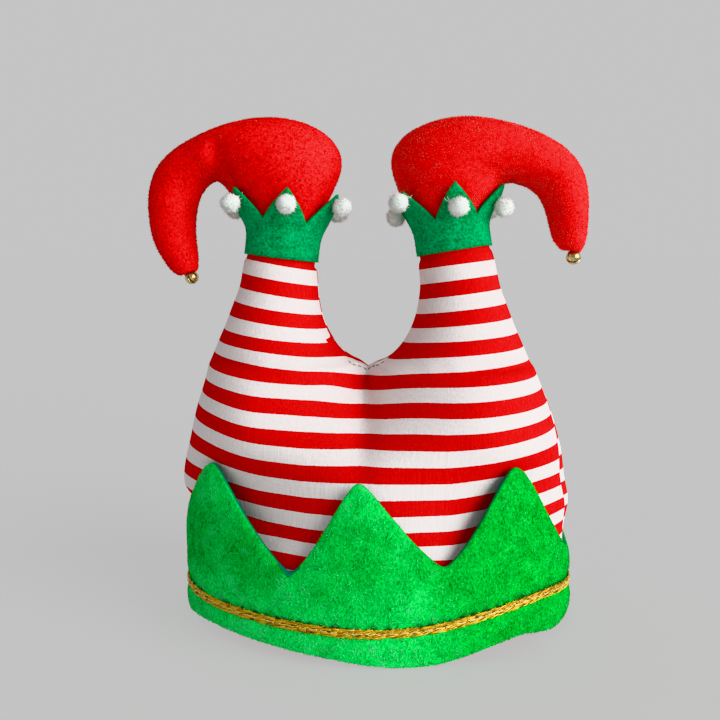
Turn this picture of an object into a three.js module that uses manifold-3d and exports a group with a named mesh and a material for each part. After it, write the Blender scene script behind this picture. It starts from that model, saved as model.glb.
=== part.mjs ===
// Elf legs hat: a striped plush crown that splits into two upturned legs with curled shoes.
// A zigzag velvet band with a gold trim goes round the rim. Felt cuffs with pompoms close the
// ankles, and a small bell is sewn to each toe.
// Millimetres, +Z up, the front towards -Y, the rim on z = 0.
import * as THREE from 'three';
import { mergeVertices } from 'three/addons/utils/BufferGeometryUtils.js';
import Module from 'manifold-3d';

const wasm = await Module();
wasm.setup();

// Driving dimensions
const GAP = 0.3; // clearance between neighbouring pieces
const CLOTH = 3; // crown wall
const VELVET = 3; // brim band wall
const FELT = 1.6; // cuff wall
const RIM_HALF_WIDTH = 112.8; // outside of the band, at the side seams
const RIM_HALF_DEPTH = 85; // outside of the band, front to back
const RIM_POWER = 1.82; // superellipse power of the rim: 2 is an ellipse, less is more pointed
const LEG_SWAY = -4.3; // the legs stand a little to one side of the rim
const SWAY_START = 60;
const SWAY_END = 150;
const SEGMENTS = 20; // ring segments in half the crown, or in one leg
const WELD = 1e-4; // vertices nearer than this are one
const SEAM = RIM_HALF_WIDTH - VELVET - GAP; // crown inside the band, out to its side seams
const FRONT = RIM_HALF_DEPTH - VELVET - GAP; // and out to its front

// Crown sections: left and right reach to the side seams. split is how far the section has gone
// from one oval, at 0, to two lobes that only touch, at 1 and at the crotch.
const CROWN = [
  { z: 0, left: SEAM, right: SEAM, halfDepth: FRONT, split: 0, power: RIM_POWER },
  { z: 30, left: SEAM, right: SEAM, halfDepth: FRONT, split: 0, power: RIM_POWER },
  { z: 44, left: 109.2, right: 109.4, halfDepth: 80.9, split: 0, power: 1.78 },
  { z: 52, left: 108.8, right: 109.4, halfDepth: 80.2, split: 0, power: 1.64 },
  { z: 58, left: 108.6, right: 110.2, halfDepth: 79.5, split: 0, power: 1.5 },
  { z: 66, left: 110.4, right: 112, halfDepth: 78.2, split: 0, power: 1.42 },
  { z: 74, left: 116, right: 113.2, halfDepth: 76.8, split: 0.02, power: 1.36 },
  { z: 90, left: 113.6, right: 111.6, halfDepth: 73, split: 0.06, power: 1.44 },
  { z: 104, left: 108.6, right: 108.8, halfDepth: 68, split: 0.2, power: 1.54 },
  { z: 118, left: 103.6, right: 105.6, halfDepth: 63.5, split: 0.42, power: 1.6 },
  { z: 130, left: 99.2, right: 102, halfDepth: 58, split: 0.58, power: 1.66 },
  { z: 140, left: 95.6, right: 98.2, halfDepth: 52.5, split: 0.76, power: 1.72 },
  { z: 147, left: 93.8, right: 95.6, halfDepth: 48.2, split: 1, power: 1.76 },
];
const RIDGE = 0.6; // where a lobe stands furthest forward, as a share of its half width
const RIDGE_STEP = 0.5; // share of a half section's points between its side seam and its ridge
const VALLEY_BEND = 1.2; // where the lobes start to part, the valley between them is nearly a V

// Leg sections above the crotch: inner and outer edge, measured out from the middle of the hat.
const LEG = [
  { z: 150, inner: 7, outer: 93.4, halfDepth: 46, power: 1.8 },
  { z: 155, inner: 14.8, outer: 91, halfDepth: 43, power: 1.85 },
  { z: 163, inner: 21.4, outer: 87.6, halfDepth: 38.5, power: 1.9 },
  { z: 170, inner: 25, outer: 84.4, halfDepth: 34, power: 1.95 },
  { z: 178, inner: 27.7, outer: 81.3, halfDepth: 30, power: 2 },
  { z: 187, inner: 29.3, outer: 77.8, halfDepth: 26.5, power: 2 },
  { z: 196, inner: 29.9, outer: 74.8, halfDepth: 23.8, power: 2 },
];

// The last stretch of a leg goes up inside its cuff, measured along the ankle's axis.
const ANKLE = [
  { height: -4.5, radius: 21.3 },
  { height: -0.6, radius: 19.7 },
  { height: 12, radius: 19.7 },
];

// Head hollow, open at the rim and domed at the top
const HOLLOW = [
  { z: 0, halfWidth: SEAM - CLOTH, halfDepth: FRONT - CLOTH },
  { z: 42, halfWidth: 106, halfDepth: 77.6 },
  { z: 70, halfWidth: 100, halfDepth: 69 },
  { z: 95, halfWidth: 87, halfDepth: 59 },
  { z: 112, halfWidth: 68, halfDepth: 46 },
  { z: 122, halfWidth: 44, halfDepth: 29 },
  { z: 126, halfWidth: 16, halfDepth: 10 },
];

// Brim band: tips and notches of the zigzag by angle round the rim, 0 at the front, + to +X.
// bend is how far the edge that follows sags below a straight line.
const ZIGZAG = [
  { angle: -92, height: 59, bend: 2 },
  { angle: -53, height: 97.5, bend: 1.2 },
  { angle: -22, height: 47, bend: 1.5 },
  { angle: -1, height: 96, bend: 1.25 },
  { angle: 24.5, height: 52, bend: 1.45 },
  { angle: 47.5, height: 100.5, bend: 2.1 },
  { angle: 89, height: 43, bend: 1.7 },
  { angle: 130, height: 97, bend: 1.25 },
  { angle: 156, height: 48, bend: 1.4 },
  { angle: 180, height: 96, bend: 1.25 },
  { angle: 205, height: 48, bend: 1.4 },
  { angle: 229, height: 97, bend: 1.7 },
];
const EDGE_STEPS = [0, 0.07, 0.18, 0.34, 0.54, 0.74, 0.91]; // samples along each zigzag edge
const TIP_ROUNDING = 5.2; // degrees round the rim over which a tip is rounded
const BAND_LEAN_START = 40; // above this the points lean in towards the crown
const BAND_LEAN_SPAN = 60;
const BAND_LEAN_POWER = 1.5;
const BAND_LEAN_SIDE = 1;
const BAND_LEAN_FRONT = 5;
const HEM_ROUNDING = 2.6;
const TOP_ROUNDING = 1;
// Section of the band: depth is a share of its wall, inwards from the outside. The height adds
// up shares of the rounded hem, of the straight wall and of the rounded top edge.
const BAND_SECTION = [
  { depth: 1, hem: 0, wall: 0, top: 0 },
  { depth: 0.45, hem: 0, wall: 0, top: 0 },
  { depth: 0.1, hem: 0.35, wall: 0, top: 0 },
  { depth: 0, hem: 1, wall: 0, top: 0 },
  { depth: 0, hem: 1, wall: 0.35, top: 0 },
  { depth: 0, hem: 1, wall: 0.7, top: 0 },
  { depth: 0, hem: 1, wall: 1, top: 0 },
  { depth: 0.3, hem: 1, wall: 1, top: 1 },
  { depth: 0.7, hem: 1, wall: 1, top: 1 },
  { depth: 1, hem: 1, wall: 1, top: 0 },
  { depth: 1, hem: 1, wall: 0.55, top: 0 },
];

// Hem of the rim: how far it lifts off the table, and the height of the trim's middle
const HEM = [
  { angle: -125, lift: 0 },
  { angle: -84, lift: 0.6 },
  { angle: -62, lift: 5 },
  { angle: -46, lift: 6.4 },
  { angle: -16, lift: 4.2 },
  { angle: 12, lift: 0 },
  { angle: 22, lift: 0.4 },
  { angle: 50, lift: 8.4 },
  { angle: 66, lift: 3.4 },
  { angle: 80, lift: 5 },
  { angle: 115, lift: 0 },
];
const TRIM = [
  { angle: -180, height: 21 },
  { angle: -90, height: 20 },
  { angle: -44, height: 20 },
  { angle: 4, height: 19 },
  { angle: 20, height: 20.4 },
  { angle: 38, height: 25 },
  { angle: 56, height: 28 },
  { angle: 80, height: 25.5 },
  { angle: 130, height: 22 },
  { angle: 180, height: 21 },
];
const TRIM_HALF_WIDTH = 2.7;
const TRIM_RIB = 1.1; // how far its two ribs stand off the band
const TRIM_GROOVE = 0.6;
// Section of the trim: rise is a share of its half width
const TRIM_SECTION = [
  { rise: -1, stand: 0 },
  { rise: -0.55, stand: TRIM_RIB },
  { rise: 0, stand: TRIM_GROOVE },
  { rise: 0.55, stand: TRIM_RIB },
  { rise: 1, stand: 0 },
];

// Ankle and cuff of each leg: out is the distance from the middle of the hat, tilt leans the
// ankle inwards, turn sets where the cuff's points stand round the ankle, and notch and tip are
// how far up the felt goes between the points and at them.
const SIDES = [
  { name: 'left', side: -1, out: 51.2, z: 209.6, tilt: 7, turn: 9.5, notch: 21, tip: 39.3 },
  { name: 'right', side: 1, out: 49.3, z: 213.6, tilt: 9, turn: 11, notch: 18, tip: 36.5 },
];
const CUFF = [
  { height: 0, radius: 20 },
  { height: 12, radius: 20.2 },
  { height: 20, radius: 22.5 },
  { height: 28, radius: 26.2 },
  { height: 40, radius: 31.8 },
];
const CUFF_POINTS = 6;
const CUFF_STEPS = [0, 0.2, 0.45, 0.72, 0.9]; // samples along each edge of a point
const CUFF_LEVELS = [0, 0.4, 0.7, 1]; // and up the felt, as shares of its height there
const INSTEP_FLARE = 7; // the instep pushes the outer points this much further out
const INSTEP_START = 14;
const INSTEP_DROP = 5; // and down

// Shoe sections from ankle to toe. under is the instep side and over the heel and top side,
// both as distance out from the middle and height.
const SHOES = {
  left: [
    { underOut: 73.2, underZ: 235.5, overOut: 26.4, overZ: 233.5, halfDepth: 22.2 },
    { underOut: 79.6, underZ: 244.5, overOut: 19.2, overZ: 250, halfDepth: 26.5 },
    { underOut: 84.2, underZ: 250, overOut: 15.4, overZ: 265.5, halfDepth: 28.2 },
    { underOut: 87.4, underZ: 252.6, overOut: 25.5, overZ: 280.8, halfDepth: 28.2 },
    { underOut: 89.6, underZ: 253.4, overOut: 50, overZ: 289.6, halfDepth: 27 },
    { underOut: 92, underZ: 253, overOut: 78, overZ: 287.6, halfDepth: 24.6 },
    { underOut: 94.6, underZ: 251, overOut: 101, overZ: 279.6, halfDepth: 20.6 },
    { underOut: 97.8, underZ: 247, overOut: 117.2, overZ: 270, halfDepth: 18.6 },
    { underOut: 100.4, underZ: 241, overOut: 127.2, overZ: 257, halfDepth: 17 },
    { underOut: 102, underZ: 231, overOut: 130.4, overZ: 241, halfDepth: 15.4 },
    { underOut: 102, underZ: 221, overOut: 129.2, overZ: 225, halfDepth: 13.8 },
    { underOut: 101, underZ: 211.5, overOut: 124.4, overZ: 211.5, halfDepth: 11.6 },
    { underOut: 101.6, underZ: 203.6, overOut: 115.6, overZ: 199.6, halfDepth: 7.6 },
  ],
  right: [
    { underOut: 69.4, underZ: 237.5, overOut: 21, overZ: 236, halfDepth: 22.2 },
    { underOut: 74, underZ: 246, overOut: 15, overZ: 252, halfDepth: 26.5 },
    { underOut: 76.4, underZ: 249.6, overOut: 12.8, overZ: 266.4, halfDepth: 28.2 },
    { underOut: 78.6, underZ: 250.9, overOut: 23, overZ: 280.4, halfDepth: 28.2 },
    { underOut: 80.6, underZ: 251, overOut: 47, overZ: 288.4, halfDepth: 27 },
    { underOut: 83, underZ: 250.6, overOut: 71.6, overZ: 287, halfDepth: 24.6 },
    { underOut: 87, underZ: 249.4, overOut: 93, overZ: 280.6, halfDepth: 21.6 },
    { underOut: 91.4, underZ: 247, overOut: 109.4, overZ: 271.6, halfDepth: 19 },
    { underOut: 95.8, underZ: 242.8, overOut: 119.8, overZ: 259.6, halfDepth: 17 },
    { underOut: 99, underZ: 236.4, overOut: 124, overZ: 245, halfDepth: 15 },
    { underOut: 101.6, underZ: 227.6, overOut: 124.2, overZ: 230.5, halfDepth: 12.8 },
    { underOut: 104, underZ: 219.6, overOut: 123.4, overZ: 220, halfDepth: 10.6 },
    { underOut: 108.2, underZ: 214.2, overOut: 120.4, overZ: 214.2, halfDepth: 6.8 },
  ],
};
// Each toe ends in a dimple, where its bell is sewn in and hangs towards the place given.
const TOES = {
  left: { out: 108.2, z: 203.2, bellOut: 105, bellZ: 197.6 },
  right: { out: 114.6, z: 215.4, bellOut: 116.2, bellZ: 209.4 },
};
const SHOE_SEGMENTS = 20;

// Bells and pompoms
const BELL_RADIUS = 4.1;
const BELL_WALL = 0.5;
const BELL_SIDES = 12;
const BELL_RINGS = 8;
const BELL_INSIDE_SIDES = 10;
const BELL_INSIDE_RINGS = 6;
const BELL_CUT = BELL_RADIUS * 3; // the slot's cutters pass right through
const BELL_SLOT = 0.9;
const BELL_SLOT_TOP = 0.4; // the slot goes this far above the bell's middle
const BELL_EYE = 0.9; // radius of the slot's round ends
const EYE_SIDES = 6;
const LOOP_RADIUS = 0.8;
const LOOP_WIRE = 0.35;
const LOOP_SIDES = 8;
const LOOP_WIRE_SIDES = 5;
const BELL_REACH = BELL_RADIUS + 2 * LOOP_RADIUS; // from the bell's middle to the top of its loop
const POMPOM_CORE = 4.7;
const POMPOM_RADIUS = 5.2;
const LOCK_COUNT = 14;
const LOCK_RADIUS = 2;
const LOCK_ROOT = 2.2;
const LOCK_SIDES = 4;
const GOLDEN_TURN = Math.PI * (3 - Math.sqrt(5)); // from each lock to the next
// How far each pompom is sewn below the tip of its point, from the front one round by the right
const POMPOM_DROPS = {
  left: [6.9, 4.8, 7, 7, 7, 6.5],
  right: [11.3, 9.5, 9.5, 9.5, 9.5, 4],
};
const SLOPE_STEP = 2; // height over which the felt's slope under a pompom is taken

const FINISH = {
  stripes: { color: 0xdf3a38, roughness: 0.9, metalness: 0 },
  velvet: { color: 0x0cb43c, roughness: 0.85, metalness: 0 },
  gold: { color: 0xd2a028, roughness: 0.35, metalness: 0.9 },
  felt: { color: 0x058a45, roughness: 0.95, metalness: 0 },
  plush: { color: 0xe01010, roughness: 0.9, metalness: 0 },
  brass: { color: 0xb99a4c, roughness: 0.25, metalness: 1 },
  fluff: { color: 0xf2f2ee, roughness: 1, metalness: 0 },
};

const radians = THREE.MathUtils.degToRad;
const smoothstep = THREE.MathUtils.smoothstep;
const vec = (x, y, z) => new THREE.Vector3(x, y, z);

// Value of a column at a place along a table, by a smooth curve through its rows
function along(table, key, column, place) {
  const last = table.length - 1;
  if (place <= table[0][key]) return table[0][column];
  if (place >= table[last][key]) return table[last][column];
  const i = table.findIndex((row) => row[key] > place) - 1;
  const t = (place - table[i][key]) / (table[i + 1][key] - table[i][key]);
  const slope = (k) => {
    const before = table[Math.max(k - 1, 0)];
    const after = table[Math.min(k + 1, last)];
    return (after[column] - before[column]) / (after[key] - before[key]);
  };
  const span = table[i + 1][key] - table[i][key];
  const rise = table[i + 1][column] - table[i][column];
  const s = t * t * (3 - 2 * t);
  const pull = t * (1 - t) * span;
  return table[i][column] + rise * s + pull * ((1 - t) * slope(i) - t * slope(i + 1));
}

const signedPower = (value, power) => Math.sign(value) * Math.abs(value) ** power;

// A closed mesh put together ring by ring
function meshBuilder() {
  const positions = [];
  const triangles = [];
  const add = (point) => positions.push(point.x, point.y, point.z) / 3 - 1;
  const ring = (points) => points.map(add);
  const at = (index) => vec(...positions.slice(3 * index, 3 * index + 3));
  const quad = (a, b, c, d) => {
    const shortSplit = at(a).distanceTo(at(c)) <= at(b).distanceTo(at(d));
    triangles.push(...(shortSplit ? [a, b, c, a, c, d] : [a, b, d, b, c, d]));
  };
  const bridge = (lower, upper) => {
    lower.forEach((a, j) => {
      const next = (j + 1) % lower.length;
      quad(a, lower[next], upper[next], upper[j]);
    });
  };
  const fan = (indices, apex) => {
    const tip = add(apex);
    indices.forEach((a, j) => triangles.push(a, indices[(j + 1) % indices.length], tip));
  };
  const geometry = () => {
    const shape = new THREE.BufferGeometry();
    shape.setAttribute('position', new THREE.Float32BufferAttribute(positions, 3));
    shape.setIndex(triangles);
    const merged = mergeVertices(shape, WELD);
    merged.computeVertexNormals();
    return merged;
  };
  return { ring, bridge, fan, geometry };
}

// A ring whose section is a closed profile, one profile for each place round it
function sweptRing(profiles) {
  const builder = meshBuilder();
  const sections = profiles.map((points) => builder.ring(points));
  sections.forEach((section, i) => builder.bridge(sections[(i + 1) % sections.length], section));
  return builder.geometry();
}

const toManifold = (geometry) => {
  const bare = geometry.clone();
  bare.deleteAttribute('normal');
  bare.deleteAttribute('uv');
  const merged = mergeVertices(bare, WELD);
  const triVerts = Uint32Array.from(merged.index.array);
  return new wasm.Manifold(
    new wasm.Mesh({ numProp: 3, vertProperties: merged.attributes.position.array, triVerts }),
  );
};

const fromManifold = (solid) => {
  const mesh = solid.getMesh();
  const shape = new THREE.BufferGeometry();
  shape.setAttribute('position', new THREE.Float32BufferAttribute(mesh.vertProperties, 3));
  shape.setIndex(Array.from(mesh.triVerts));
  shape.computeVertexNormals();
  return shape;
};

// Outline of the rim, grown or shrunk by an offset; angle 0 is the front
function rimPoint(angle, sideOffset, depthOffset, z) {
  const x = (RIM_HALF_WIDTH + sideOffset) * signedPower(Math.sin(angle), 2 / RIM_POWER);
  const y = -(RIM_HALF_DEPTH + depthOffset) * signedPower(Math.cos(angle), 2 / RIM_POWER);
  return vec(x, y, z);
}

// Angle round the rim, in degrees, of a point on an outline shaped like the rim's
function rimAngle(x, y, halfWidth, halfDepth) {
  const across = signedPower(x / halfWidth, RIM_POWER / 2);
  const ahead = signedPower(-y / halfDepth, RIM_POWER / 2);
  return THREE.MathUtils.radToDeg(Math.atan2(across, ahead));
}

const wrapDegrees = (angle) => THREE.MathUtils.euclideanModulo(angle + 180, 360) - 180;
const hemLift = (degrees) => Math.max(0, along(HEM, 'angle', 'lift', wrapDegrees(degrees)));
const trimHeight = (degrees) => along(TRIM, 'angle', 'height', wrapDegrees(degrees));
const sway = (z) => LEG_SWAY * smoothstep(z, SWAY_START, SWAY_END);

// Quarter of an oval, from its side at 0 to its front or back at 1
function ovalPoint(place, power) {
  const angle = (place * Math.PI) / 2;
  return { out: Math.cos(angle) ** (2 / power), y: Math.sin(angle) ** (2 / power) };
}

// Half of a lobe, from its side at 0 over its ridge to the middle line at 1. Its inner side gets
// rounder as the lobes part.
function lobePoint(place, split) {
  if (place <= RIDGE_STEP) {
    const { out, y } = ovalPoint(place / RIDGE_STEP, 2);
    return { out: RIDGE + (1 - RIDGE) * out, y };
  }
  const inwards = (place - RIDGE_STEP) / (1 - RIDGE_STEP);
  const roundness = split ** 2;
  const level = 1 - inwards ** THREE.MathUtils.lerp(VALLEY_BEND, 2, roundness);
  return { out: RIDGE * (1 - inwards), y: level ** THREE.MathUtils.lerp(1, 0.5, roundness) };
}

// Half of a crown section, from the front of the middle line round the side to the back
function halfSection(halfWidth, { halfDepth, split, power }) {
  const points = Array.from({ length: SEGMENTS + 1 }, (_, k) => {
    const place = (2 * k) / SEGMENTS - 1;
    const oval = ovalPoint(Math.abs(place), power);
    const lobe = lobePoint(Math.abs(place), split);
    const out = THREE.MathUtils.lerp(oval.out, lobe.out, split);
    return { out, y: Math.sign(place) * THREE.MathUtils.lerp(oval.y, lobe.y, split) };
  });
  const crest = Math.max(...points.map(({ y }) => y));
  return points.map(({ out, y }) => ({
    out: out < WELD ? 0 : halfWidth * out,
    y: (halfDepth * y) / crest,
  }));
}

// Whole crown ring: the right half from front to back, then the left half from back to front
function crownRing(row, lifted) {
  const place = (side) => ({ out, y }) => {
    const angle = rimAngle(side * out, y, side > 0 ? row.right : row.left, row.halfDepth);
    return vec(side * out + sway(row.z), y, lifted ? hemLift(angle) : row.z);
  };
  const right = halfSection(row.right, row).slice(0, -1).map(place(1));
  const left = halfSection(row.left, row).slice(1).reverse().map(place(-1));
  return [...right, ...left];
}

// One leg ring, starting at its inner edge and going round as the crown ring does
function legRing(leg, row) {
  const middle = (row.inner + row.outer) / 2;
  const lobe = (row.outer - row.inner) / 2;
  return Array.from({ length: SEGMENTS }, (_, k) => {
    const angle = leg.side * Math.PI * ((2 * k) / SEGMENTS - 1);
    const bend = Math.cos(angle) > 0 ? 2 / row.power : 1;
    const out = middle + lobe * signedPower(Math.cos(angle), bend);
    return vec(leg.side * out + LEG_SWAY, row.halfDepth * signedPower(Math.sin(angle), bend), row.z);
  });
}

// Place of a point given in an ankle's own frame, whose z goes up along the ankle
function ankleFrame(leg) {
  const tilt = leg.side * radians(leg.tilt);
  const frame = new THREE.Matrix4().makeRotationY(-tilt);
  return frame.setPosition(leg.side * leg.out + LEG_SWAY, 0, leg.z);
}

function ankleRing(leg, { height, radius }, segments) {
  return Array.from({ length: segments }, (_, k) => {
    const angle = leg.side * Math.PI * ((2 * k) / segments - 1);
    const point = vec(leg.side * radius * Math.cos(angle), radius * Math.sin(angle), height);
    return point.applyMatrix4(ankleFrame(leg));
  });
}

function stripedBody() {
  const builder = meshBuilder();
  const crown = CROWN.map((row, i) => builder.ring(crownRing(row, i === 0)));
  crown.slice(1).forEach((ring, i) => builder.bridge(crown[i], ring));
  const crotch = crown[crown.length - 1];
  const loops = { left: crotch.slice(SEGMENTS), right: crotch.slice(0, SEGMENTS) };
  SIDES.forEach((leg) => {
    let below = loops[leg.name];
    const rings = [
      ...LEG.map((row) => legRing(leg, row)),
      ...ANKLE.map((row) => ankleRing(leg, row, SEGMENTS)),
    ];
    rings.forEach((points) => {
      const above = builder.ring(points);
      builder.bridge(below, above);
      below = above;
    });
    const end = ANKLE[ANKLE.length - 1].height;
    builder.fan(below, vec(0, 0, end).applyMatrix4(ankleFrame(leg)));
  });
  const hollow = HOLLOW.map((row, i) => {
    const sides = { left: row.halfWidth, right: row.halfWidth };
    return builder.ring(crownRing({ ...row, ...sides, split: 0, power: RIM_POWER }, i === 0));
  });
  builder.bridge(hollow[0], crown[0]);
  hollow.slice(1).forEach((ring, i) => builder.bridge(ring, hollow[i]));
  const roof = HOLLOW[HOLLOW.length - 1].z;
  builder.fan(hollow[hollow.length - 1].slice().reverse(), vec(sway(roof), 0, roof));
  return builder.geometry();
}

// Angles round the rim, in degrees, with the band's height at each
function zigzagSamples() {
  return ZIGZAG.flatMap((start, i) => {
    const next = ZIGZAG[(i + 1) % ZIGZAG.length];
    const span = THREE.MathUtils.euclideanModulo(next.angle - start.angle, 360);
    const fromTip = start.height > next.height;
    const [tip, notch] = fromTip ? [start.height, next.height] : [next.height, start.height];
    const fall = (away) => Math.hypot(away, TIP_ROUNDING) - TIP_ROUNDING;
    return EDGE_STEPS.map((step) => {
      const away = span * (fromTip ? step : 1 - step);
      const share = (1 - fall(away) / fall(span)) ** start.bend;
      return { angle: start.angle + span * step, height: notch + (tip - notch) * share };
    });
  });
}

function brimBand() {
  const profiles = zigzagSamples().map(({ angle, height }) => {
    const lift = hemLift(angle);
    const straight = height - TOP_ROUNDING - lift - HEM_ROUNDING;
    return BAND_SECTION.map(({ depth, hem, wall, top }) => {
      const z = lift + HEM_ROUNDING * hem + straight * wall + TOP_ROUNDING * top;
      const lean = Math.max(0, (z - BAND_LEAN_START) / BAND_LEAN_SPAN) ** BAND_LEAN_POWER;
      const side = -VELVET * depth - BAND_LEAN_SIDE * lean;
      return rimPoint(radians(angle), side, -VELVET * depth - BAND_LEAN_FRONT * lean, z);
    });
  });
  return sweptRing(profiles);
}

function goldTrim() {
  const profiles = zigzagSamples().map(({ angle }) => {
    return TRIM_SECTION.map(({ rise, stand }) => {
      const z = trimHeight(angle) + TRIM_HALF_WIDTH * rise;
      return rimPoint(radians(angle), GAP + stand, GAP + stand, z);
    });
  });
  return sweptRing(profiles);
}

// How squarely a place round the ankle faces the instep, 0 to 1; angle 0 is the front
const instep = (leg, angle) => Math.max(0, leg.side * Math.sin(angle)) ** 2;
const cuffTip = (leg, angle) => leg.tip - INSTEP_DROP * instep(leg, angle);

// Inner radius of a cuff at a height and an angle round the ankle
function cuffRadius(leg, height, angle) {
  const flare = INSTEP_FLARE * Math.max(0, (height - INSTEP_START) / (leg.tip - INSTEP_START));
  return along(CUFF, 'height', 'radius', height) + instep(leg, angle) * flare;
}

const cuffPoint = (angle, radius, height) => {
  return vec(radius * Math.sin(angle), -radius * Math.cos(angle), height);
};

function cuff(leg) {
  const pitch = 360 / CUFF_POINTS;
  const edges = Array.from({ length: CUFF_POINTS * 2 }, (_, i) => i);
  const profiles = edges.flatMap((i) => {
    return CUFF_STEPS.map((step) => {
      const angle = radians(leg.turn + ((i + step) * pitch) / 2);
      const away = i % 2 === 0 ? step : 1 - step;
      const height = cuffTip(leg, angle) * (1 - away) + leg.notch * away;
      const at = (wall) => (share) => {
        const level = height * share;
        return cuffPoint(angle, cuffRadius(leg, level, angle) + wall, level);
      };
      return [...CUFF_LEVELS.map(at(FELT)), ...CUFF_LEVELS.toReversed().map(at(0))];
    });
  });
  return sweptRing(profiles).applyMatrix4(ankleFrame(leg));
}

function shoe(leg) {
  const builder = meshBuilder();
  const end = ANKLE[ANKLE.length - 1];
  const start = { ...end, height: end.height + GAP };
  const along2d = (out, z) => vec(leg.side * out + LEG_SWAY, 0, z);
  const sections = SHOES[leg.name].map((row) => {
    const under = along2d(row.underOut, row.underZ);
    const over = along2d(row.overOut, row.overZ);
    const middle = under.clone().add(over).multiplyScalar(0.5);
    const arm = over.clone().sub(middle);
    return Array.from({ length: SHOE_SEGMENTS }, (_, k) => {
      const angle = leg.side * Math.PI * ((2 * k) / SHOE_SEGMENTS);
      const point = middle.clone().addScaledVector(arm, Math.cos(angle));
      return point.setY(-row.halfDepth * Math.sin(angle));
    });
  });
  let below = builder.ring(ankleRing(leg, start, SHOE_SEGMENTS));
  const bottom = vec(0, 0, start.height).applyMatrix4(ankleFrame(leg));
  builder.fan(below.slice().reverse(), bottom);
  sections.forEach((points) => {
    const above = builder.ring(points);
    builder.bridge(below, above);
    below = above;
  });
  builder.fan(below, along2d(TOES[leg.name].out, TOES[leg.name].z));
  return builder.geometry();
}

// Sleigh bell with a slot across its lower half, its loop up along +Z
function bellShape() {
  const outside = toManifold(new THREE.SphereGeometry(BELL_RADIUS, BELL_SIDES, BELL_RINGS));
  const inside = toManifold(
    new THREE.SphereGeometry(BELL_RADIUS - BELL_WALL, BELL_INSIDE_SIDES, BELL_INSIDE_RINGS),
  );
  const depth = BELL_RADIUS + BELL_SLOT_TOP;
  const slot = new THREE.BoxGeometry(BELL_CUT, BELL_SLOT, depth);
  slot.translate(0, 0, BELL_SLOT_TOP - depth / 2);
  const eyes = new THREE.CylinderGeometry(BELL_EYE, BELL_EYE, BELL_CUT, EYE_SIDES);
  eyes.rotateZ(Math.PI / 2);
  eyes.translate(0, 0, BELL_SLOT_TOP);
  const loop = new THREE.TorusGeometry(LOOP_RADIUS, LOOP_WIRE, LOOP_WIRE_SIDES, LOOP_SIDES);
  loop.rotateX(Math.PI / 2);
  loop.translate(0, 0, BELL_RADIUS + LOOP_RADIUS - LOOP_WIRE);
  const cut = outside.subtract(inside).subtract(toManifold(slot)).subtract(toManifold(eyes));
  return fromManifold(cut.add(toManifold(loop).subtract(inside)));
}

// Pompom: locks of yarn fused to a round core, one of them straight down at its seat
function pompomShape() {
  let fluff = toManifold(new THREE.IcosahedronGeometry(POMPOM_CORE, 0));
  for (let i = 0; i < LOCK_COUNT; i += 1) {
    const height = 1 - (2 * i) / (LOCK_COUNT - 1);
    const ring = Math.sqrt(Math.max(0, 1 - height * height));
    const turn = i * GOLDEN_TURN;
    const direction = vec(ring * Math.cos(turn), ring * Math.sin(turn), height);
    const lock = new THREE.ConeGeometry(LOCK_RADIUS, POMPOM_RADIUS - LOCK_ROOT, LOCK_SIDES);
    lock.translate(0, (POMPOM_RADIUS + LOCK_ROOT) / 2, 0);
    lock.applyQuaternion(new THREE.Quaternion().setFromUnitVectors(vec(0, 1, 0), direction));
    fluff = fluff.add(toManifold(lock));
  }
  return fromManifold(fluff);
}

const material = (finish) => new THREE.MeshStandardMaterial(FINISH[finish]);
const hat = new THREE.Group();

function piece(name, geometry, finish, parent = hat) {
  const mesh = new THREE.Mesh(geometry, material(finish));
  mesh.name = name;
  parent.add(mesh);
  return mesh;
}

// A pompom sits on the outside of each point of a cuff
function addPompoms(leg, shape) {
  const ankle = new THREE.Group();
  ankle.applyMatrix4(ankleFrame(leg));
  hat.add(ankle);
  for (let i = 0; i < CUFF_POINTS; i += 1) {
    const angle = radians(leg.turn + (360 / CUFF_POINTS) * i);
    const height = cuffTip(leg, angle) - POMPOM_DROPS[leg.name][i];
    const wide = (level) => cuffRadius(leg, level, angle) + FELT;
    const rise = cuffPoint(angle, wide(height + SLOPE_STEP), height + SLOPE_STEP);
    const seat = cuffPoint(angle, wide(height), height);
    const upward = rise.sub(seat).normalize();
    const around = vec(Math.cos(angle), Math.sin(angle), 0);
    const outward = around.clone().cross(upward);
    const pompom = piece(`${leg.name}_pompom_${i + 1}`, shape, 'fluff', ankle);
    pompom.position.copy(seat).addScaledVector(outward, POMPOM_RADIUS + GAP);
    pompom.quaternion.setFromUnitVectors(vec(0, 0, 1), outward);
  }
}

function addBell(leg, shape) {
  const toe = TOES[leg.name];
  const tip = vec(leg.side * toe.out + LEG_SWAY, 0, toe.z);
  const hang = vec(leg.side * toe.bellOut + LEG_SWAY, 0, toe.bellZ).sub(tip).normalize();
  const bell = piece(`${leg.name}_bell`, shape, 'brass');
  bell.position.copy(tip).addScaledVector(hang, BELL_REACH + GAP);
  bell.quaternion.setFromUnitVectors(vec(0, 0, -1), hang);
}

piece('striped_body', stripedBody(), 'stripes');
piece('brim_band', brimBand(), 'velvet');
piece('gold_trim', goldTrim(), 'gold');
const bellGeometry = bellShape();
const pompomGeometry = pompomShape();
SIDES.forEach((leg) => {
  piece(`${leg.name}_cuff`, cuff(leg), 'felt');
  piece(`${leg.name}_shoe`, shoe(leg), 'plush');
  addBell(leg, bellGeometry);
  addPompoms(leg, pompomGeometry);
});

// The whole hat stands with the middle of its box over the origin
const box = new THREE.Box3().setFromObject(hat, true);
const middle = box.getCenter(vec(0, 0, 0));
hat.position.set(-middle.x, -middle.y, -box.min.z);

export default hat;
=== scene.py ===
"""Elf legs hat: its cloth, velvet, felt, plush, braid and bells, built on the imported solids."""

import math

import bmesh
import bpy
import numpy as np
from numpy.random import default_rng
from mathutils import Euler, Matrix, Vector
from mathutils.bvhtree import BVHTree
from mathutils.kdtree import KDTree


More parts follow.
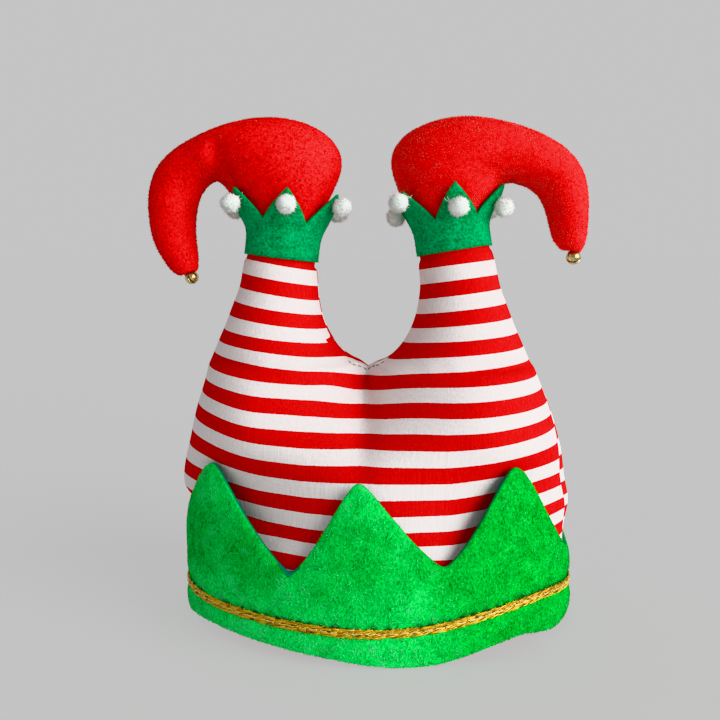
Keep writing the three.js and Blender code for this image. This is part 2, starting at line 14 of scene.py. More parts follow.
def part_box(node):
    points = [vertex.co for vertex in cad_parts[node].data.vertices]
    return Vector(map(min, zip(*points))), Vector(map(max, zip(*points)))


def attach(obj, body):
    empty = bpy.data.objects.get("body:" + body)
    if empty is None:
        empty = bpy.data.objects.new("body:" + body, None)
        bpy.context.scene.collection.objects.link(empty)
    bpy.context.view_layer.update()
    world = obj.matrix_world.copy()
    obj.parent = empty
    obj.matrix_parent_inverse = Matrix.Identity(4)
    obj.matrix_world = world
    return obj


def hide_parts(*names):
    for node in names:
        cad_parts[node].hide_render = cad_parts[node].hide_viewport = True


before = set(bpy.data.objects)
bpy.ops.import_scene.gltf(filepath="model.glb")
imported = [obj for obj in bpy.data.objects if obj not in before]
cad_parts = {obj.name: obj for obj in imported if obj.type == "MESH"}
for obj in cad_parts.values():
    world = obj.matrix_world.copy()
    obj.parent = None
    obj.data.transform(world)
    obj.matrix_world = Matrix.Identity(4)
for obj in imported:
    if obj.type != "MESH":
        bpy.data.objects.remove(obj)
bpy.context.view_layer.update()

MM = 0.001


def mm(*sizes):
    """Sizes in millimetres, as metres."""
    return tuple(size * MM for size in sizes)


TINY = 1e-12
SIDES = ("left", "right")
SEED_STEP = 10  # from the seeds of the left to the right
WELD = 1e-6
ANY_ANGLE = 3.1  # radians, to pair triangles at any angle

# The rim, read from the band, and how the legs sway to one side of it
RIM_LOW, RIM_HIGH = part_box("brim_band")
AXIS = (RIM_LOW + RIM_HIGH) / 2
RIM_HALF_WIDTH = (RIM_HIGH.x - RIM_LOW.x) / 2
RIM_HALF_DEPTH = (RIM_HIGH.y - RIM_LOW.y) / 2
LEG_SWAY = -4.3 * MM
SWAY_HEIGHTS = mm(60, 150)

# Camera, measured from the middle of the rim; turn, tilt and pan in degrees
CAMERA_DISTANCE = 0.5416
CAMERA_HEIGHT = 0.2103
CAMERA_TURN = 5.5
CAMERA_TILT = 6.34
CAMERA_PAN = 0.98
CAMERA_LENS = 46.6

# Studio: a grey surround, darker in front, and a broad soft key light low on the right
SURROUND = 0.592
SURROUND_FRONT = 0.4
SURROUND_TURN = 0.3  # share of the way forward over which it darkens
KEY_TURN = 60  # degrees round from the front towards the right
KEY_RISE = 8
KEY_STRENGTH = 5.0
KEY_SPREAD = 60
FLOOR_RADIUS = 60
FLOOR_SIDES = 96
FLOOR_GREY = 0.135
FLOOR_GLOW = 0.48  # so that shadows on it stay faint

# Stripes, half way out on a leg: the number falls by one from each edge of red and white to the next
# one up. Heights in these tables are in mm
STRIPE_HEIGHTS = (0, 40, 55.2, 68.8, 85.5, 102.2, 118.65, 134, 148.85, 163.7, 179.4, 196, 213.2)
STRIPE_NUMBERS = (19.6, 14.1, 12, 10, 8, 6, 4, 2, 0, -2, -4, -6, -8)
STRIPE_OUT = 45 * MM
SLOPE_HEIGHTS = (130, 150, 157, 171, 187, 205)
SLOPES = (0, 0.06, 0.09, 0.14, 0.175, 0.18)  # by which they climb outwards on the legs
LEFT_TILT = 0.06  # below the left leg they climb to the left
LEFT_TILT_OUT = 30 * MM
LEFT_TILT_FADE = mm(150, 172)
RIGHT_TILT = 0.05  # on the right leg they climb towards the inside
RIGHT_TILT_OUT = 55 * MM
RIGHT_TILT_START = mm(150, 165)
DIP_HEIGHTS = (100, 110, 118, 126, 134, 142, 150)
DIPS = (0, 0.9, 2.6, 4, 4.5, 3.7, 2.5)  # mm that they sag in the valley
DIP_WIDTH = 22 * MM
NARROWING = 10 * MM  # of its left side, between two heights
NARROWING_HEIGHTS = mm(128, 142)
FOLD_DIP = 0.8 * MM  # more sag in the fold of the valley itself
FOLD_WIDTH = 5.5 * MM
FOLD_HEIGHTS = mm(103, 115)
BOW_HEIGHTS = (85, 93, 101, 109, 115)
BOWS = (2.9, 2.2, 1.2, 0.4, 0)  # mm that they droop at BOW_OUT, low on the crown
BOW_OUT = 60 * MM
BOW_LIMIT = 80 * MM  # on the left they droop no further from here out
LEFT_RISE = 4.3 * MM  # they climb at the far left
LEFT_RISE_OUT = mm(50, 100)
LEFT_RISE_FADE = mm(122, 156)
RIGHT_RISE_HEIGHTS = (56, 68, 84, 100, 117, 131, 148)
RIGHT_RISES = (13.5, 13.8, 12.4, 7, 4.2, 2.6, 0)  # mm that they climb at the far right
RIGHT_RISE_START, RIGHT_RISE_SPAN = mm(45, 62)
RIGHT_RISE_POWER = 1.3

# Seams and other places on the striped body
BACK_SHIFT = 0.85  # the back panel was cut with its stripes lower
SEAM_HEIGHTS = (58, 64, 77, 91, 105, 120, 150)
SEAM_FORWARDS = (5, 5.5, 7.3, 9, 10.8, 10, 0)  # mm by which the right seam is in front
SEAM_PULL = 2 * MM  # of the cloth by the right seam, above the band
PULL_HEIGHT, PULL_SPAN = mm(84, 14)
PULL_OUT = mm(70, 100)
WEDGE_FORWARD = 13 * MM  # of the wedge of red cloth inside the left leg
WEDGE_BACK = 3 * MM
WEDGE_LOW = mm(150, 155)
WEDGE_HIGH = mm(163, 165.5)
WEDGE_OUT = 45 * MM
CROTCH_SEAM, CROTCH_HEIGHT, CROTCH_HALF_WIDTH = mm(1.5, 140, 25)
VALLEY_CREASE = 0.4
VALLEY_HEIGHTS = mm(95, 128)  # where the valley starts and is sharpest
HEM_HEIGHT = 9 * MM
MIDDLE_WIDTH = 0.4 * MM


# Numbers and meshes

NOISE_WAVES = 28
NOISE_LENGTHS = (0.6, 1.4)
FIBRE_CORNERS = 3
FIBRE_FACES = np.array([[0, 1, 3], [1, 2, 3], [2, 0, 3], [0, 2, 1]])
ROOT_DEPTH = 0.1 * MM  # fibres start this far inside their cloth


def ramp(value, start, end):
    """0 before the start, 1 past the end, and a smooth rise between."""
    share = np.clip((value - start) / (end - start), 0, 1)
    return share * share * (3 - 2 * share)


def by_height(z, heights, values):
    """Reads a table of values by height in mm."""
    return np.interp(z, np.array(heights) * MM, values)


def rows_of(items, field, kind=float):
    """A field of three values, for each item of a mesh."""
    flat = np.empty(len(items) * 3, dtype=kind)
    items.foreach_get(field, flat)
    return flat.reshape(-1, 3)


def points_of(mesh):
    return rows_of(mesh.vertices, "co")


def normals_of(mesh):
    return rows_of(mesh.vertex_normals, "vector")


def set_points(mesh, points):
    mesh.vertices.foreach_set("co", np.asarray(points, dtype=np.float32).ravel())
    mesh.update()


def on_floor(mesh):
    """Lifts what is below the floor onto it; gives the points."""
    points = points_of(mesh)
    points[:, 2] = np.maximum(points[:, 2], 0)
    set_points(mesh, points)
    return points


def middle_of(node):
    low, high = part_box(node)
    return np.array((low + high) / 2)


def unit(vectors):
    return vectors / np.maximum(np.linalg.norm(vectors, axis=-1, keepdims=True), TINY)


def turned(first, normals, turn):
    """Directions along a surface, turned about its normals."""
    return first * np.cos(turn)[:, None] + np.cross(normals, first) * np.sin(turn)[:, None]


def smooth_noise(points, size, seed):
    """Smooth random values, mostly -1 to 1, that change over about the given size."""
    draw = default_rng(seed)
    directions = unit(draw.normal(size=(NOISE_WAVES, 3))) * draw.uniform(*NOISE_LENGTHS, (NOISE_WAVES, 1))
    phases = draw.uniform(0, 2 * math.pi, NOISE_WAVES)
    angles = points @ directions.T * (math.pi / size) + phases
    return np.cos(angles).sum(axis=1) * math.sqrt(1 / NOISE_WAVES)


def varied(points, seed, draw, size, swing, spread):
    """Smooth random values of a given swing, and a spread of their own."""
    return smooth_noise(points, size, seed) * swing + draw.normal(size=len(points)) * spread


def joined(parts):
    """Points and faces of several meshes as those of one."""
    points, faces, start = [], [], 0
    for more_points, more_faces in parts:
        points.append(more_points)
        faces.append(more_faces + start)
        start += len(more_points)
    return np.concatenate(points), np.concatenate(faces)


def mesh_of(name, points, faces, materials, choice=None):
    mesh = bpy.data.meshes.new(name)
    mesh.from_pydata(points.tolist(), [], faces.tolist())
    for material in materials:
        mesh.materials.append(material)
    if choice is not None:
        mesh.polygons.foreach_set("material_index", np.asarray(choice, dtype=np.int32))
    mesh.shade_smooth()
    return mesh


def add_values(mesh, name, values):
    """A value at each point of a mesh, for its material to read."""
    layer = mesh.attributes.new(name, "FLOAT", "POINT")
    layer.data.foreach_set("value", values.astype(np.float32))


def add_piece(name, mesh, nodes=()):
    """A piece that rides on the one body and stands for the given CAD nodes."""
    piece = placed(name, mesh)
    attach(piece, "root")
    if nodes:
        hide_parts(*nodes)
    return piece


def placed(name, data):
    """A new object in the scene."""
    made = bpy.data.objects.new(name, data)
    bpy.context.scene.collection.objects.link(made)
    return made


def mesh_from(name, form):
    mesh = bpy.data.meshes.new(name)
    form.to_mesh(mesh)
    form.free()
    return mesh


def filled(name, fill, **options):
    """An object whose mesh is made by a bmesh operator."""
    form = bmesh.new()
    fill(form, **options)
    return placed(name, mesh_from(name, form))


def dress(mesh, material):
    mesh.materials.clear()
    mesh.materials.append(material)
    mesh.shade_smooth()


def finished_mesh(piece):
    """The piece's mesh with its modifiers worked in."""
    graph = bpy.context.evaluated_depsgraph_get()
    return bpy.data.meshes.new_from_object(piece.evaluated_get(graph))


def solid_form(node):
    """A node's solid, its shared corners merged and its triangles paired into quads."""
    form = bmesh.new()
    form.from_mesh(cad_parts[node].data)
    bmesh.ops.remove_doubles(form, verts=form.verts, dist=WELD)
    bmesh.ops.join_triangles(
        form, faces=form.faces, angle_face_threshold=ANY_ANGLE, angle_shape_threshold=ANY_ANGLE,
    )
    return form


def rounded(name, node, material, levels, passes, crease=None):
    """A fine smooth mesh of a node's solid. Each pass brings it closer to the solid's corners,
    and crease gives the sharpness of an edge."""
    form = solid_form(node)
    if crease:
        layer = form.edges.layers.float.new("crease_edge")
        for edge in form.edges:
            edge[layer] = crease(edge)
    mesh = mesh_from(name + "_corners", form)
    maker = placed(name + "_maker", mesh)
    smoother = maker.modifiers.new("smooth", "SUBSURF")
    smoother.levels = levels
    corners = points_of(mesh)
    for _ in range(passes):
        reached = points_of(finished_mesh(maker))[:len(corners)]
        set_points(mesh, points_of(mesh) + corners - reached)
        bpy.context.view_layer.update()
    fine = finished_mesh(maker)
    bpy.data.objects.remove(maker)
    fine.name = name
    dress(fine, material)
    return fine


def scatter(mesh, count, seed, weight=None):
    """Random places on a mesh and their normals; weight says how likely a place is."""
    draw = default_rng(seed)
    mesh.calc_loop_triangles()
    corners = rows_of(mesh.loop_triangles, "vertices", int)
    points = points_of(mesh)[corners]
    normals = normals_of(mesh)[corners]
    areas = np.linalg.norm(np.cross(points[:, 1] - points[:, 0], points[:, 2] - points[:, 0]), axis=1)
    if weight:
        areas = areas * weight(points.mean(axis=1), unit(normals.mean(axis=1)))
    chosen = draw.choice(len(areas), count, p=areas / areas.sum())
    shares = draw.uniform(size=(2, count))
    shares = np.where(shares.sum(axis=0) > 1, 1 - shares, shares)
    shares = np.stack([1 - shares.sum(axis=0), *shares], axis=1)[:, :, None]
    return (points[chosen] * shares).sum(axis=1), unit((normals[chosen] * shares).sum(axis=1))


def spikes(roots, tips, width, seed):
    """Closed three-sided spikes from roots to tips: their points and faces."""
    draw = default_rng(seed)
    along = unit(tips - roots)
    across = unit(np.cross(along, unit(draw.normal(size=roots.shape))))
    other = np.cross(along, across)
    angles = np.arange(FIBRE_CORNERS) * 2 * math.pi / FIBRE_CORNERS
    rings = [roots + (across * math.cos(turn) + other * math.sin(turn)) * width / 2 for turn in angles]
    points = np.stack(rings + [tips], axis=1).reshape(-1, 3)
    starts = np.arange(len(roots)) * (FIBRE_CORNERS + 1)
    return points, (starts[:, None, None] + FIBRE_FACES).reshape(-1, 3)


def pile(name, roots, tips, width, materials, shades, seed):
    """Pile of short fibres; shades picks each fibre's material."""
    choice = np.repeat(shades, len(FIBRE_FACES))
    return mesh_of(name, *spikes(roots, tips, width, seed), materials, choice)


def walls(steps, corners):
    """Faces of a tube between rings of so many corners."""
    ring = np.arange(corners)
    after = np.roll(ring, -1)
    wall = np.stack([ring, after, corners + after, corners + ring], axis=1)
    return (np.arange(steps)[:, None, None] * corners + wall).reshape(-1, 4)


def strand_mesh(rows, width):
    """Closed four-sided tubes along rows of points: their points and faces."""
    along = unit(np.gradient(rows, axis=1))
    out = rim_outward(rows.reshape(-1, 3)).reshape(rows.shape)
    side = unit(np.cross(along, out))
    out = np.cross(side, along)
    half = width / 2
    points = np.stack([rows + way * half for way in (side, out, -side, -out)], axis=2)
    count, steps, corners = points.shape[:3]
    ring = np.arange(corners)
    faces = np.concatenate([walls(steps - 1, corners), [ring[::-1], ring + (steps - 1) * corners]])
    faces = faces + (np.arange(count) * steps * corners)[:, None, None]
    return points.reshape(-1, 3), faces.reshape(-1, corners)


def rim_outward(points):
    """Which way is out from the rim, at each point."""
    away = points - np.array(AXIS)
    away = away / np.array([RIM_HALF_WIDTH ** 2, RIM_HALF_DEPTH ** 2, 1])
    away[:, 2] = 0
    return unit(away)


def rim_angle(points):
    """Angle round the rim: 0 at the front, growing towards +X."""
    return np.arctan2(points[:, 0] - AXIS.x, -(points[:, 1] - AXIS.y))


# Material nodes

MIX_SOCKETS = (0, 6, 7)  # the factor and the two colours of a mix node
MIX_RESULT = 2


def node(owner, kind, **terms):
    """A new node, with what goes into its sockets by name."""
    made = owner.node_tree.nodes.new("ShaderNode" + kind)
    for name, term in terms.items():
        feed(owner, made.inputs[name.replace("_", " ")], term)
    return made


def new_material(name, **values):
    """A new material, with its shader's values by name."""
    material = bpy.data.materials.new(name)
    material.use_nodes = True
    for socket, value in values.items():
        shade(material, socket.replace("_", " "), value)
    return material


def feed(owner, socket, term):
    """Puts a number, a colour, a list or another node's output into a socket."""
    if isinstance(term, bpy.types.NodeSocket):
        owner.node_tree.links.new(term, socket)
    elif isinstance(term, tuple):
        socket.default_value = (*term, 1)
    else:
        socket.default_value = term


def shade(owner, socket, term):
    feed(owner, owner.node_tree.nodes["Principled BSDF"].inputs[socket], term)


def calc(owner, operation, *terms):
    made = node(owner, "Math")
    made.operation = operation
    for socket, term in zip(made.inputs, terms):
        feed(owner, socket, term)
    return made.outputs[0]


def summed(owner, share, first, second):
    """A share of the first value, and the rest of the second."""
    return calc(owner, "MULTIPLY_ADD", first, share, calc(owner, "MULTIPLY", second, 1 - share))


def mixed(owner, factor, low, high):
    made = node(owner, "Mix")
    made.data_type = "RGBA"
    for socket, term in zip(MIX_SOCKETS, (factor, low, high)):
        feed(owner, made.inputs[socket], term)
    return made.outputs[MIX_RESULT]


def between(owner, value, start, end):
    """0 below start, 1 above end, and a straight line between."""
    return node(owner, "MapRange", Value=value, From_Min=start, From_Max=end).outputs["Result"]


def two_tone(owner, value, cut, tones):
    """The first tone, turning to the second across a cut through the value."""
    return mixed(owner, between(owner, value, *cut), *tones)


def attribute(owner, name):
    made = node(owner, "Attribute")
    made.attribute_name = name
    return made.outputs["Fac"]


def noise(owner, grain, stretch=(1, 1, 1), detail=2):
    """Noise over the piece in spots of about the grain's size, stretched along its axes."""
    place = node(owner, "TexCoord").outputs["Object"]
    scale = [1 / (grain * s) for s in stretch]
    place = node(owner, "Mapping", Vector=place, Scale=scale).outputs["Vector"]
    return node(owner, "TexNoise", Vector=place, Scale=1, Detail=detail).outputs["Fac"]


def bump(owner, height, depth):
    shade(owner, "Normal", node(owner, "Bump", Distance=depth, Height=height).outputs["Normal"])


# Finishes

WHITE = (1, 1, 1)
CLOTH_GLOSS = 0.03
BRAID_METAL = 0.5
FIBRE_ROUGHNESS = 0.8
QUARTER = 0.25  # of a pair of stripes, from edge to middle
STRIPE_EDGE = (0.24, 0.26)
FRAY = 0.03  # share of a pair of stripes over which their edges waver
FRAY_SIZE = 1.1 * MM
UPRIGHT_THREADS = (0.9 * MM, (1, 1, 14))  # grain of the noise and its stretch
LEVEL_THREADS = (0.8 * MM, (10, 10, 1))
JERSEY_CUT = (0.3, 0.7)
LINT_SIZE = 1.3 * MM
LINT_CUT = (0.64, 0.74)
JERSEY_WHITES = ((0.79, 0.73, 0.725), (0.88, 0.83, 0.825))
JERSEY_REDS = ((0.56, 0.001, 0.001), (0.65, 0.003, 0.002))
LINT_RED = (0.71, 0.012, 0.009)
JERSEY_BUMP = 0.25 * MM
NAP_PATCH = 8 * MM
NAP_STROKES = (1.1 * MM, (1, 1, 1.6))
STROKE_SHARE = 0.6
NAP_CUT = (0.36, 0.62)
NAP_DEEP = ((0, 0.28, 0.004), (0.002, 0.6, 0.045))
# Painted sheen: the paler greens of the backing
NAP_PAINTED_SHEEN = ((0, 0.55, 0.05), (0.01, 0.95, 0.15))
# Painted shade: the dark strip along the trim's upper edge
NAP_TRIM_SHADE = (0, 0.04, 0.004)
NAP_BUMP = 0.5 * MM
VELVET_SHEEN = (0.05, 1, 0.3)
LINING_TEAL = (0, 0.2, 0.11)
LINING_EDGE_LINE = 0.3  # value of the lining at which a line of painted shade runs round the turned edge
LINING_EDGE_CUT = (0.25, 0.1)
# Painted shade: the dark line round the turned edge
LINING_EDGE_SHADE = (0, 0.06, 0.02)
FELT_GRAIN, FELT_CLOUD = mm(1.4, 7)
FELT_GRAIN_SHARE = 0.7
FELT_TONE_CUT = (0.37, 0.63)
FELT_TONES = ((0, 0.19, 0.035), (0, 0.48, 0.15))
WRINKLES = (2.2 * MM, (5, 5, 1))
FELT_BUMP = 0.9 * MM
FELT_SHEEN = (0.05, 1, 0.5)
PLUSH_GRAIN = 1.8 * MM
PLUSH_TONE_CUT = (0.35, 0.65)
PLUSH_TONES = ((0.78, 0, 0), (0.95, 0.004, 0.003))
PLUSH_BUMP = 0.6 * MM
PLUSH_SHEEN = (1, 0.12, 0.08)
TARNISH_SIZE = 2.2 * MM
TARNISH_CUT = (0.4, 0.7)
BRASS_TONES = ((0.8, 0.66, 0.36), (0.45, 0.36, 0.17))
SCRATCH_SIZE, SCRATCH_DEPTH = mm(0.6, 0.03)
YARN_SIZE = 0.8 * MM
YARN_TONES = ((0.88, 0.94, 0.9), (0.94, 1, 0.96))


def cloth(name, roughness, sheen=0, sheen_roughness=0.5, tint=WHITE, gloss=CLOTH_GLOSS):
    return new_material(
        name, Roughness=roughness, Specular_IOR_Level=gloss,
        Sheen_Weight=sheen, Sheen_Roughness=sheen_roughness, Sheen_Tint=tint,
    )


def striped_finish():
    """Red and white jersey: stripes by the piece's own stripe number, fine threads, lint."""
    made = cloth("striped_cloth", 0.9)
    back = calc(made, "GREATER_THAN", attribute(made, "behind"), 0)
    number = calc(made, "MULTIPLY_ADD", back, -BACK_SHIFT / 2, attribute(made, "stripe"))
    fray = calc(made, "MULTIPLY_ADD", noise(made, FRAY_SIZE), FRAY, number)
    turn = calc(made, "FRACT", calc(made, "ADD", fray, QUARTER - FRAY / 2))
    off_middle = calc(made, "ABSOLUTE", calc(made, "SUBTRACT", turn, 2 * QUARTER))
    outside_wedge = calc(made, "LESS_THAN", attribute(made, "red_wedge"), 0)
    white = calc(made, "MULTIPLY", between(made, off_middle, *STRIPE_EDGE), outside_wedge)
    upright = noise(made, *UPRIGHT_THREADS)
    level = noise(made, *LEVEL_THREADS)
    lint = between(made, noise(made, LINT_SIZE, detail=1), *LINT_CUT)
    whites = two_tone(made, upright, JERSEY_CUT, JERSEY_WHITES)
    reds = mixed(made, lint, two_tone(made, upright, JERSEY_CUT, JERSEY_REDS), LINT_RED)
    shade(made, "Base Color", mixed(made, white, reds, whites))
    bump(made, calc(made, "ADD", upright, level), JERSEY_BUMP)
    return made


def velvet_finish():
    """Green velvet: light and dark patches of nap, painted sheen, painted shade along the trim and round
    the turned edge, and a teal lining where it turns inwards.
    """
    made = cloth("green_velvet", 0.9, 0.25, 0.3, VELVET_SHEEN)
    strokes = noise(made, *NAP_STROKES)
    nap = summed(made, STROKE_SHARE, strokes, noise(made, NAP_PATCH, detail=3))
    deep = two_tone(made, nap, NAP_CUT, NAP_DEEP)
    painted_sheen = two_tone(made, nap, NAP_CUT, NAP_PAINTED_SHEEN)
    # Painted sheen: the backing turns paler with the pile's painted paleness
    green = mixed(made, attribute(made, "painted_sheen"), deep, painted_sheen)
    # Painted shade: a dark strip along the trim's upper edge
    green = mixed(made, attribute(made, "painted_trim_shade"), green, NAP_TRIM_SHADE)
    lining = attribute(made, "lining")
    # Painted shade: a dark line where the band's surface turns in towards its lining
    off_edge_line = calc(made, "ABSOLUTE", calc(made, "SUBTRACT", lining, LINING_EDGE_LINE))
    surface = mixed(made, lining, green, LINING_TEAL)
    shade(made, "Base Color", two_tone(made, off_edge_line, LINING_EDGE_CUT, (surface, LINING_EDGE_SHADE)))
    bump(made, strokes, NAP_BUMP)
    return made


def felt_finish():
    """Green felt: matted fibres in every direction."""
    made = cloth("green_felt", 0.95, 0.1, 0.5, FELT_SHEEN)
    matted = noise(made, FELT_GRAIN, detail=4)
    mottle = summed(made, FELT_GRAIN_SHARE, matted, noise(made, FELT_CLOUD))
    shade(made, "Base Color", two_tone(made, mottle, FELT_TONE_CUT, FELT_TONES))
    bump(made, calc(made, "ADD", matted, noise(made, *WRINKLES)), FELT_BUMP)
    return made


def plush_finish():
    """Red short-pile plush under its fibres."""
    made = cloth("red_plush", 0.9, 0.15, 0.4, PLUSH_SHEEN)
    nap = noise(made, PLUSH_GRAIN, detail=3)
    shade(made, "Base Color", two_tone(made, nap, PLUSH_TONE_CUT, PLUSH_TONES))
    bump(made, nap, PLUSH_BUMP)
    return made


def brass_finish():
    made = new_material("bell_brass", Metallic=1, Roughness=0.2)
    tarnish = noise(made, TARNISH_SIZE, detail=4)
    shade(made, "Base Color", two_tone(made, tarnish, TARNISH_CUT, BRASS_TONES))
    bump(made, noise(made, SCRATCH_SIZE), SCRATCH_DEPTH)
    return made


def fluff_finish():
    made = cloth("white_fluff", 1, 0.2, 0.6, gloss=0.1)
    shade(made, "Base Color", mixed(made, noise(made, YARN_SIZE), *YARN_TONES))
    return made


def fibre_finish(name, colour, roughness=FIBRE_ROUGHNESS):
    return new_material(name, Base_Color=colour, Roughness=roughness, Specular_IOR_Level=CLOTH_GLOSS)


def fibre_finishes(name, colours, roughness=FIBRE_ROUGHNESS):
    """The shades of fibre in a pile of several."""
    return [fibre_finish(f"{name}_{i + 1}", colour, roughness) for i, colour in enumerate(colours)]


def braid_finish(name, colour, roughness):
    return new_material(name, Base_Color=colour, Roughness=roughness, Metallic=BRAID_METAL)


# Striped body


def leg_sway(z):
    return LEG_SWAY * ramp(z, *SWAY_HEIGHTS)


def across_legs(points):
    """How far each point lies to the right of the middle of the legs."""
    return points[:, 0] - AXIS.x - leg_sway(points[:, 2])


def red_wedge(points):
    """Above 0 in the wedge of red cloth inside the left leg."""
    x, y, z = across_legs(points), points[:, 1], points[:, 2]
    tall = ramp(z, *WEDGE_LOW) * (1 - ramp(z, *WEDGE_HIGH))
    front = y + WEDGE_FORWARD * tall
    return np.min([front, WEDGE_BACK - y, -x, x + WEDGE_OUT, z - WEDGE_LOW[0], WEDGE_HIGH[1] - z], axis=0)


def behind_seam(points):
    """How far each point lies behind the side seams."""
    x, z = across_legs(points), points[:, 2]
    right = ramp(x, 0, RIM_HALF_WIDTH / 2)
    forward = right * by_height(z, SEAM_HEIGHTS, SEAM_FORWARDS) * MM
    forward += CROTCH_SEAM * ((np.abs(x) < CROTCH_HALF_WIDTH) & (z > CROTCH_HEIGHT))
    return points[:, 1] + forward


def stripe_sag(x, z):
    """How far the stripes hang down at each place across and up the body."""
    width = DIP_WIDTH - NARROWING * ramp(z, *NARROWING_HEIGHTS) * (x < 0)
    dip = by_height(z, DIP_HEIGHTS, DIPS) * MM * np.exp(-(x / width) ** 2)
    fold = FOLD_DIP * ramp(z, *FOLD_HEIGHTS) * np.exp(-(x / FOLD_WIDTH) ** 2)
    bow = by_height(z, BOW_HEIGHTS, BOWS) * MM * (np.maximum(x, -BOW_LIMIT) / BOW_OUT) ** 2
    return dip + fold + bow


def stripe_rise(x, z):
    """How far the stripes climb towards the sides."""
    left = LEFT_RISE * ramp(-x, *LEFT_RISE_OUT) * (1 - ramp(z, *LEFT_RISE_FADE))
    out = np.maximum(x - RIGHT_RISE_START, 0) / RIGHT_RISE_SPAN
    return left + by_height(z, RIGHT_RISE_HEIGHTS, RIGHT_RISES) * MM * out ** RIGHT_RISE_POWER


def stripe_number(points):
    """Stripe number at each point of the front panel, whole at an edge of red and white."""
    x, z = across_legs(points), points[:, 2]
    slopes = by_height(z, SLOPE_HEIGHTS, SLOPES) * (np.abs(x) - STRIPE_OUT)
    left = LEFT_TILT * np.minimum(x + LEFT_TILT_OUT, 0) * (1 - ramp(z, *LEFT_TILT_FADE))
    right = RIGHT_TILT * (x - RIGHT_TILT_OUT) * (x > 0) * ramp(z, *RIGHT_TILT_START)
    level = z - slopes + stripe_sag(x, z) + left + right - stripe_rise(x, z)
    return by_height(level, STRIPE_HEIGHTS, STRIPE_NUMBERS)


def body_crease(edge):
    """Keeps the hem sharp, and the valley below the crotch on the middle line."""
    if all(corner.co.z < HEM_HEIGHT for corner in edge.verts):
        return 1
    for corner in edge.verts:
        if abs(corner.co.x - AXIS.x - float(leg_sway(corner.co.z))) > MIDDLE_WIDTH:
            return 0
    middle = (edge.verts[0].co + edge.verts[1].co) / 2
    return VALLEY_CREASE * float(ramp(middle.z, *VALLEY_HEIGHTS))


def striped_body(finish):
    mesh = rounded("striped_cloth", "striped_body", finish, levels=2, passes=3, crease=body_crease)
    points = on_floor(mesh)
    pull = SEAM_PULL * np.exp(-((points[:, 2] - PULL_HEIGHT) / PULL_SPAN) ** 2)
    points[:, 0] -= pull * ramp(points[:, 0], *PULL_OUT)
    set_points(mesh, points)
    add_values(mesh, "stripe", stripe_number(points) / 2)
    add_values(mesh, "behind", behind_seam(points) / MM)
    add_values(mesh, "red_wedge", red_wedge(points) / MM)
    piece = add_piece("striped_cloth", mesh, ["striped_body"])
    return piece


# Hem and stitches over the crotch

HEM_WHITE = (0.85, 0.8, 0.79)
HEM_HALF_WIDTH = 14 * MM
HEM_STEPS = 29
HEM_SEARCH = mm(-30, 20)  # front to back, for the crest between the legs
SEARCH_STEPS = 201
HEM_TOP = 200 * MM
HEM_DROP = 0.8 * MM  # of the folded edge below the crest, in front
HEM_WIDTH = 1.5 * MM
HEM_END_POWER = 8  # how suddenly its ends dive into the cloth
CREST_EASE = 0.65  # how much closer to the crest hem and stitches end
STITCH_DARK = (0.03, 0.012, 0.01)
STITCHES = 8
STITCH_DROP, STITCH_HALF_WIDTH, STITCH_LENGTH = mm(1.6, 9.4, 1.5)
STITCH_STEPS = 4
STITCH_WIDTH = 0.6 * MM


def below_crest(body, across, drop):
    """Places on the front of the body, so far below the crest between the legs."""
    tree = BVHTree.FromObject(body, bpy.context.evaluated_depsgraph_get())
    depths = np.linspace(*HEM_SEARCH, SEARCH_STEPS)
    places = []
    for x in across:
        hits = [tree.ray_cast((x, y, HEM_TOP), (0, 0, -1))[0] for y in depths]
        heights = np.array([hit.z if hit else 0 for hit in hits])
        crest = heights.argmax()
        away = abs(x - AXIS.x - LEG_SWAY) / HEM_HALF_WIDTH
        lower = heights[crest] - drop * (1 - CREST_EASE * min(away, 1))
        front = np.nonzero(heights[:crest + 1] < lower)[0]
        found = front[-1] if len(front) else 0
        places.append((x, depths[found], heights[found]))
    return np.array(places)


def crotch_hem(body):
    """Folded white edge over the crotch, held by a row of dark stitches."""
    bpy.context.view_layer.update()
    middle = AXIS.x + LEG_SWAY
    hem = below_crest(body, middle + np.linspace(-HEM_HALF_WIDTH, HEM_HALF_WIDTH, HEM_STEPS), HEM_DROP)
    hem[:, 2] -= HEM_WIDTH * np.abs(np.linspace(-1, 1, HEM_STEPS)) ** HEM_END_POWER
    places = middle + np.linspace(-STITCH_HALF_WIDTH, STITCH_HALF_WIDTH, STITCHES)
    shares = np.linspace(-0.5, 0.5, STITCH_STEPS)
    rows = [below_crest(body, places + STITCH_LENGTH * share, STITCH_DROP) for share in shares]
    edge = strand_mesh(hem[None], HEM_WIDTH)
    stitches = strand_mesh(np.stack(rows, axis=1), STITCH_WIDTH)
    choice = np.repeat([0, 1], [len(edge[1]), len(stitches[1])])
    materials = [fibre_finish("hem_white", HEM_WHITE), fibre_finish("stitch_dark", STITCH_DARK)]
    mesh = mesh_of("crotch_hem", *joined([edge, stitches]), materials, choice)
    add_piece("crotch_hem", mesh)


# Brim band

TRIM_CORNERS = 5  # of a section of the trim's solid
TRIM_HALF_WIDTH = 2.7 * MM
TRIM_PINCH = mm(2.6, 9)  # the trim holds the band in, from fully to not at all
BAND_PUFF, BAND_PUFF_SPAN, BAND_WAVE, BAND_WAVE_SIZE = mm(1.3, 6, 0.5, 17)
BAND_SEED = 11
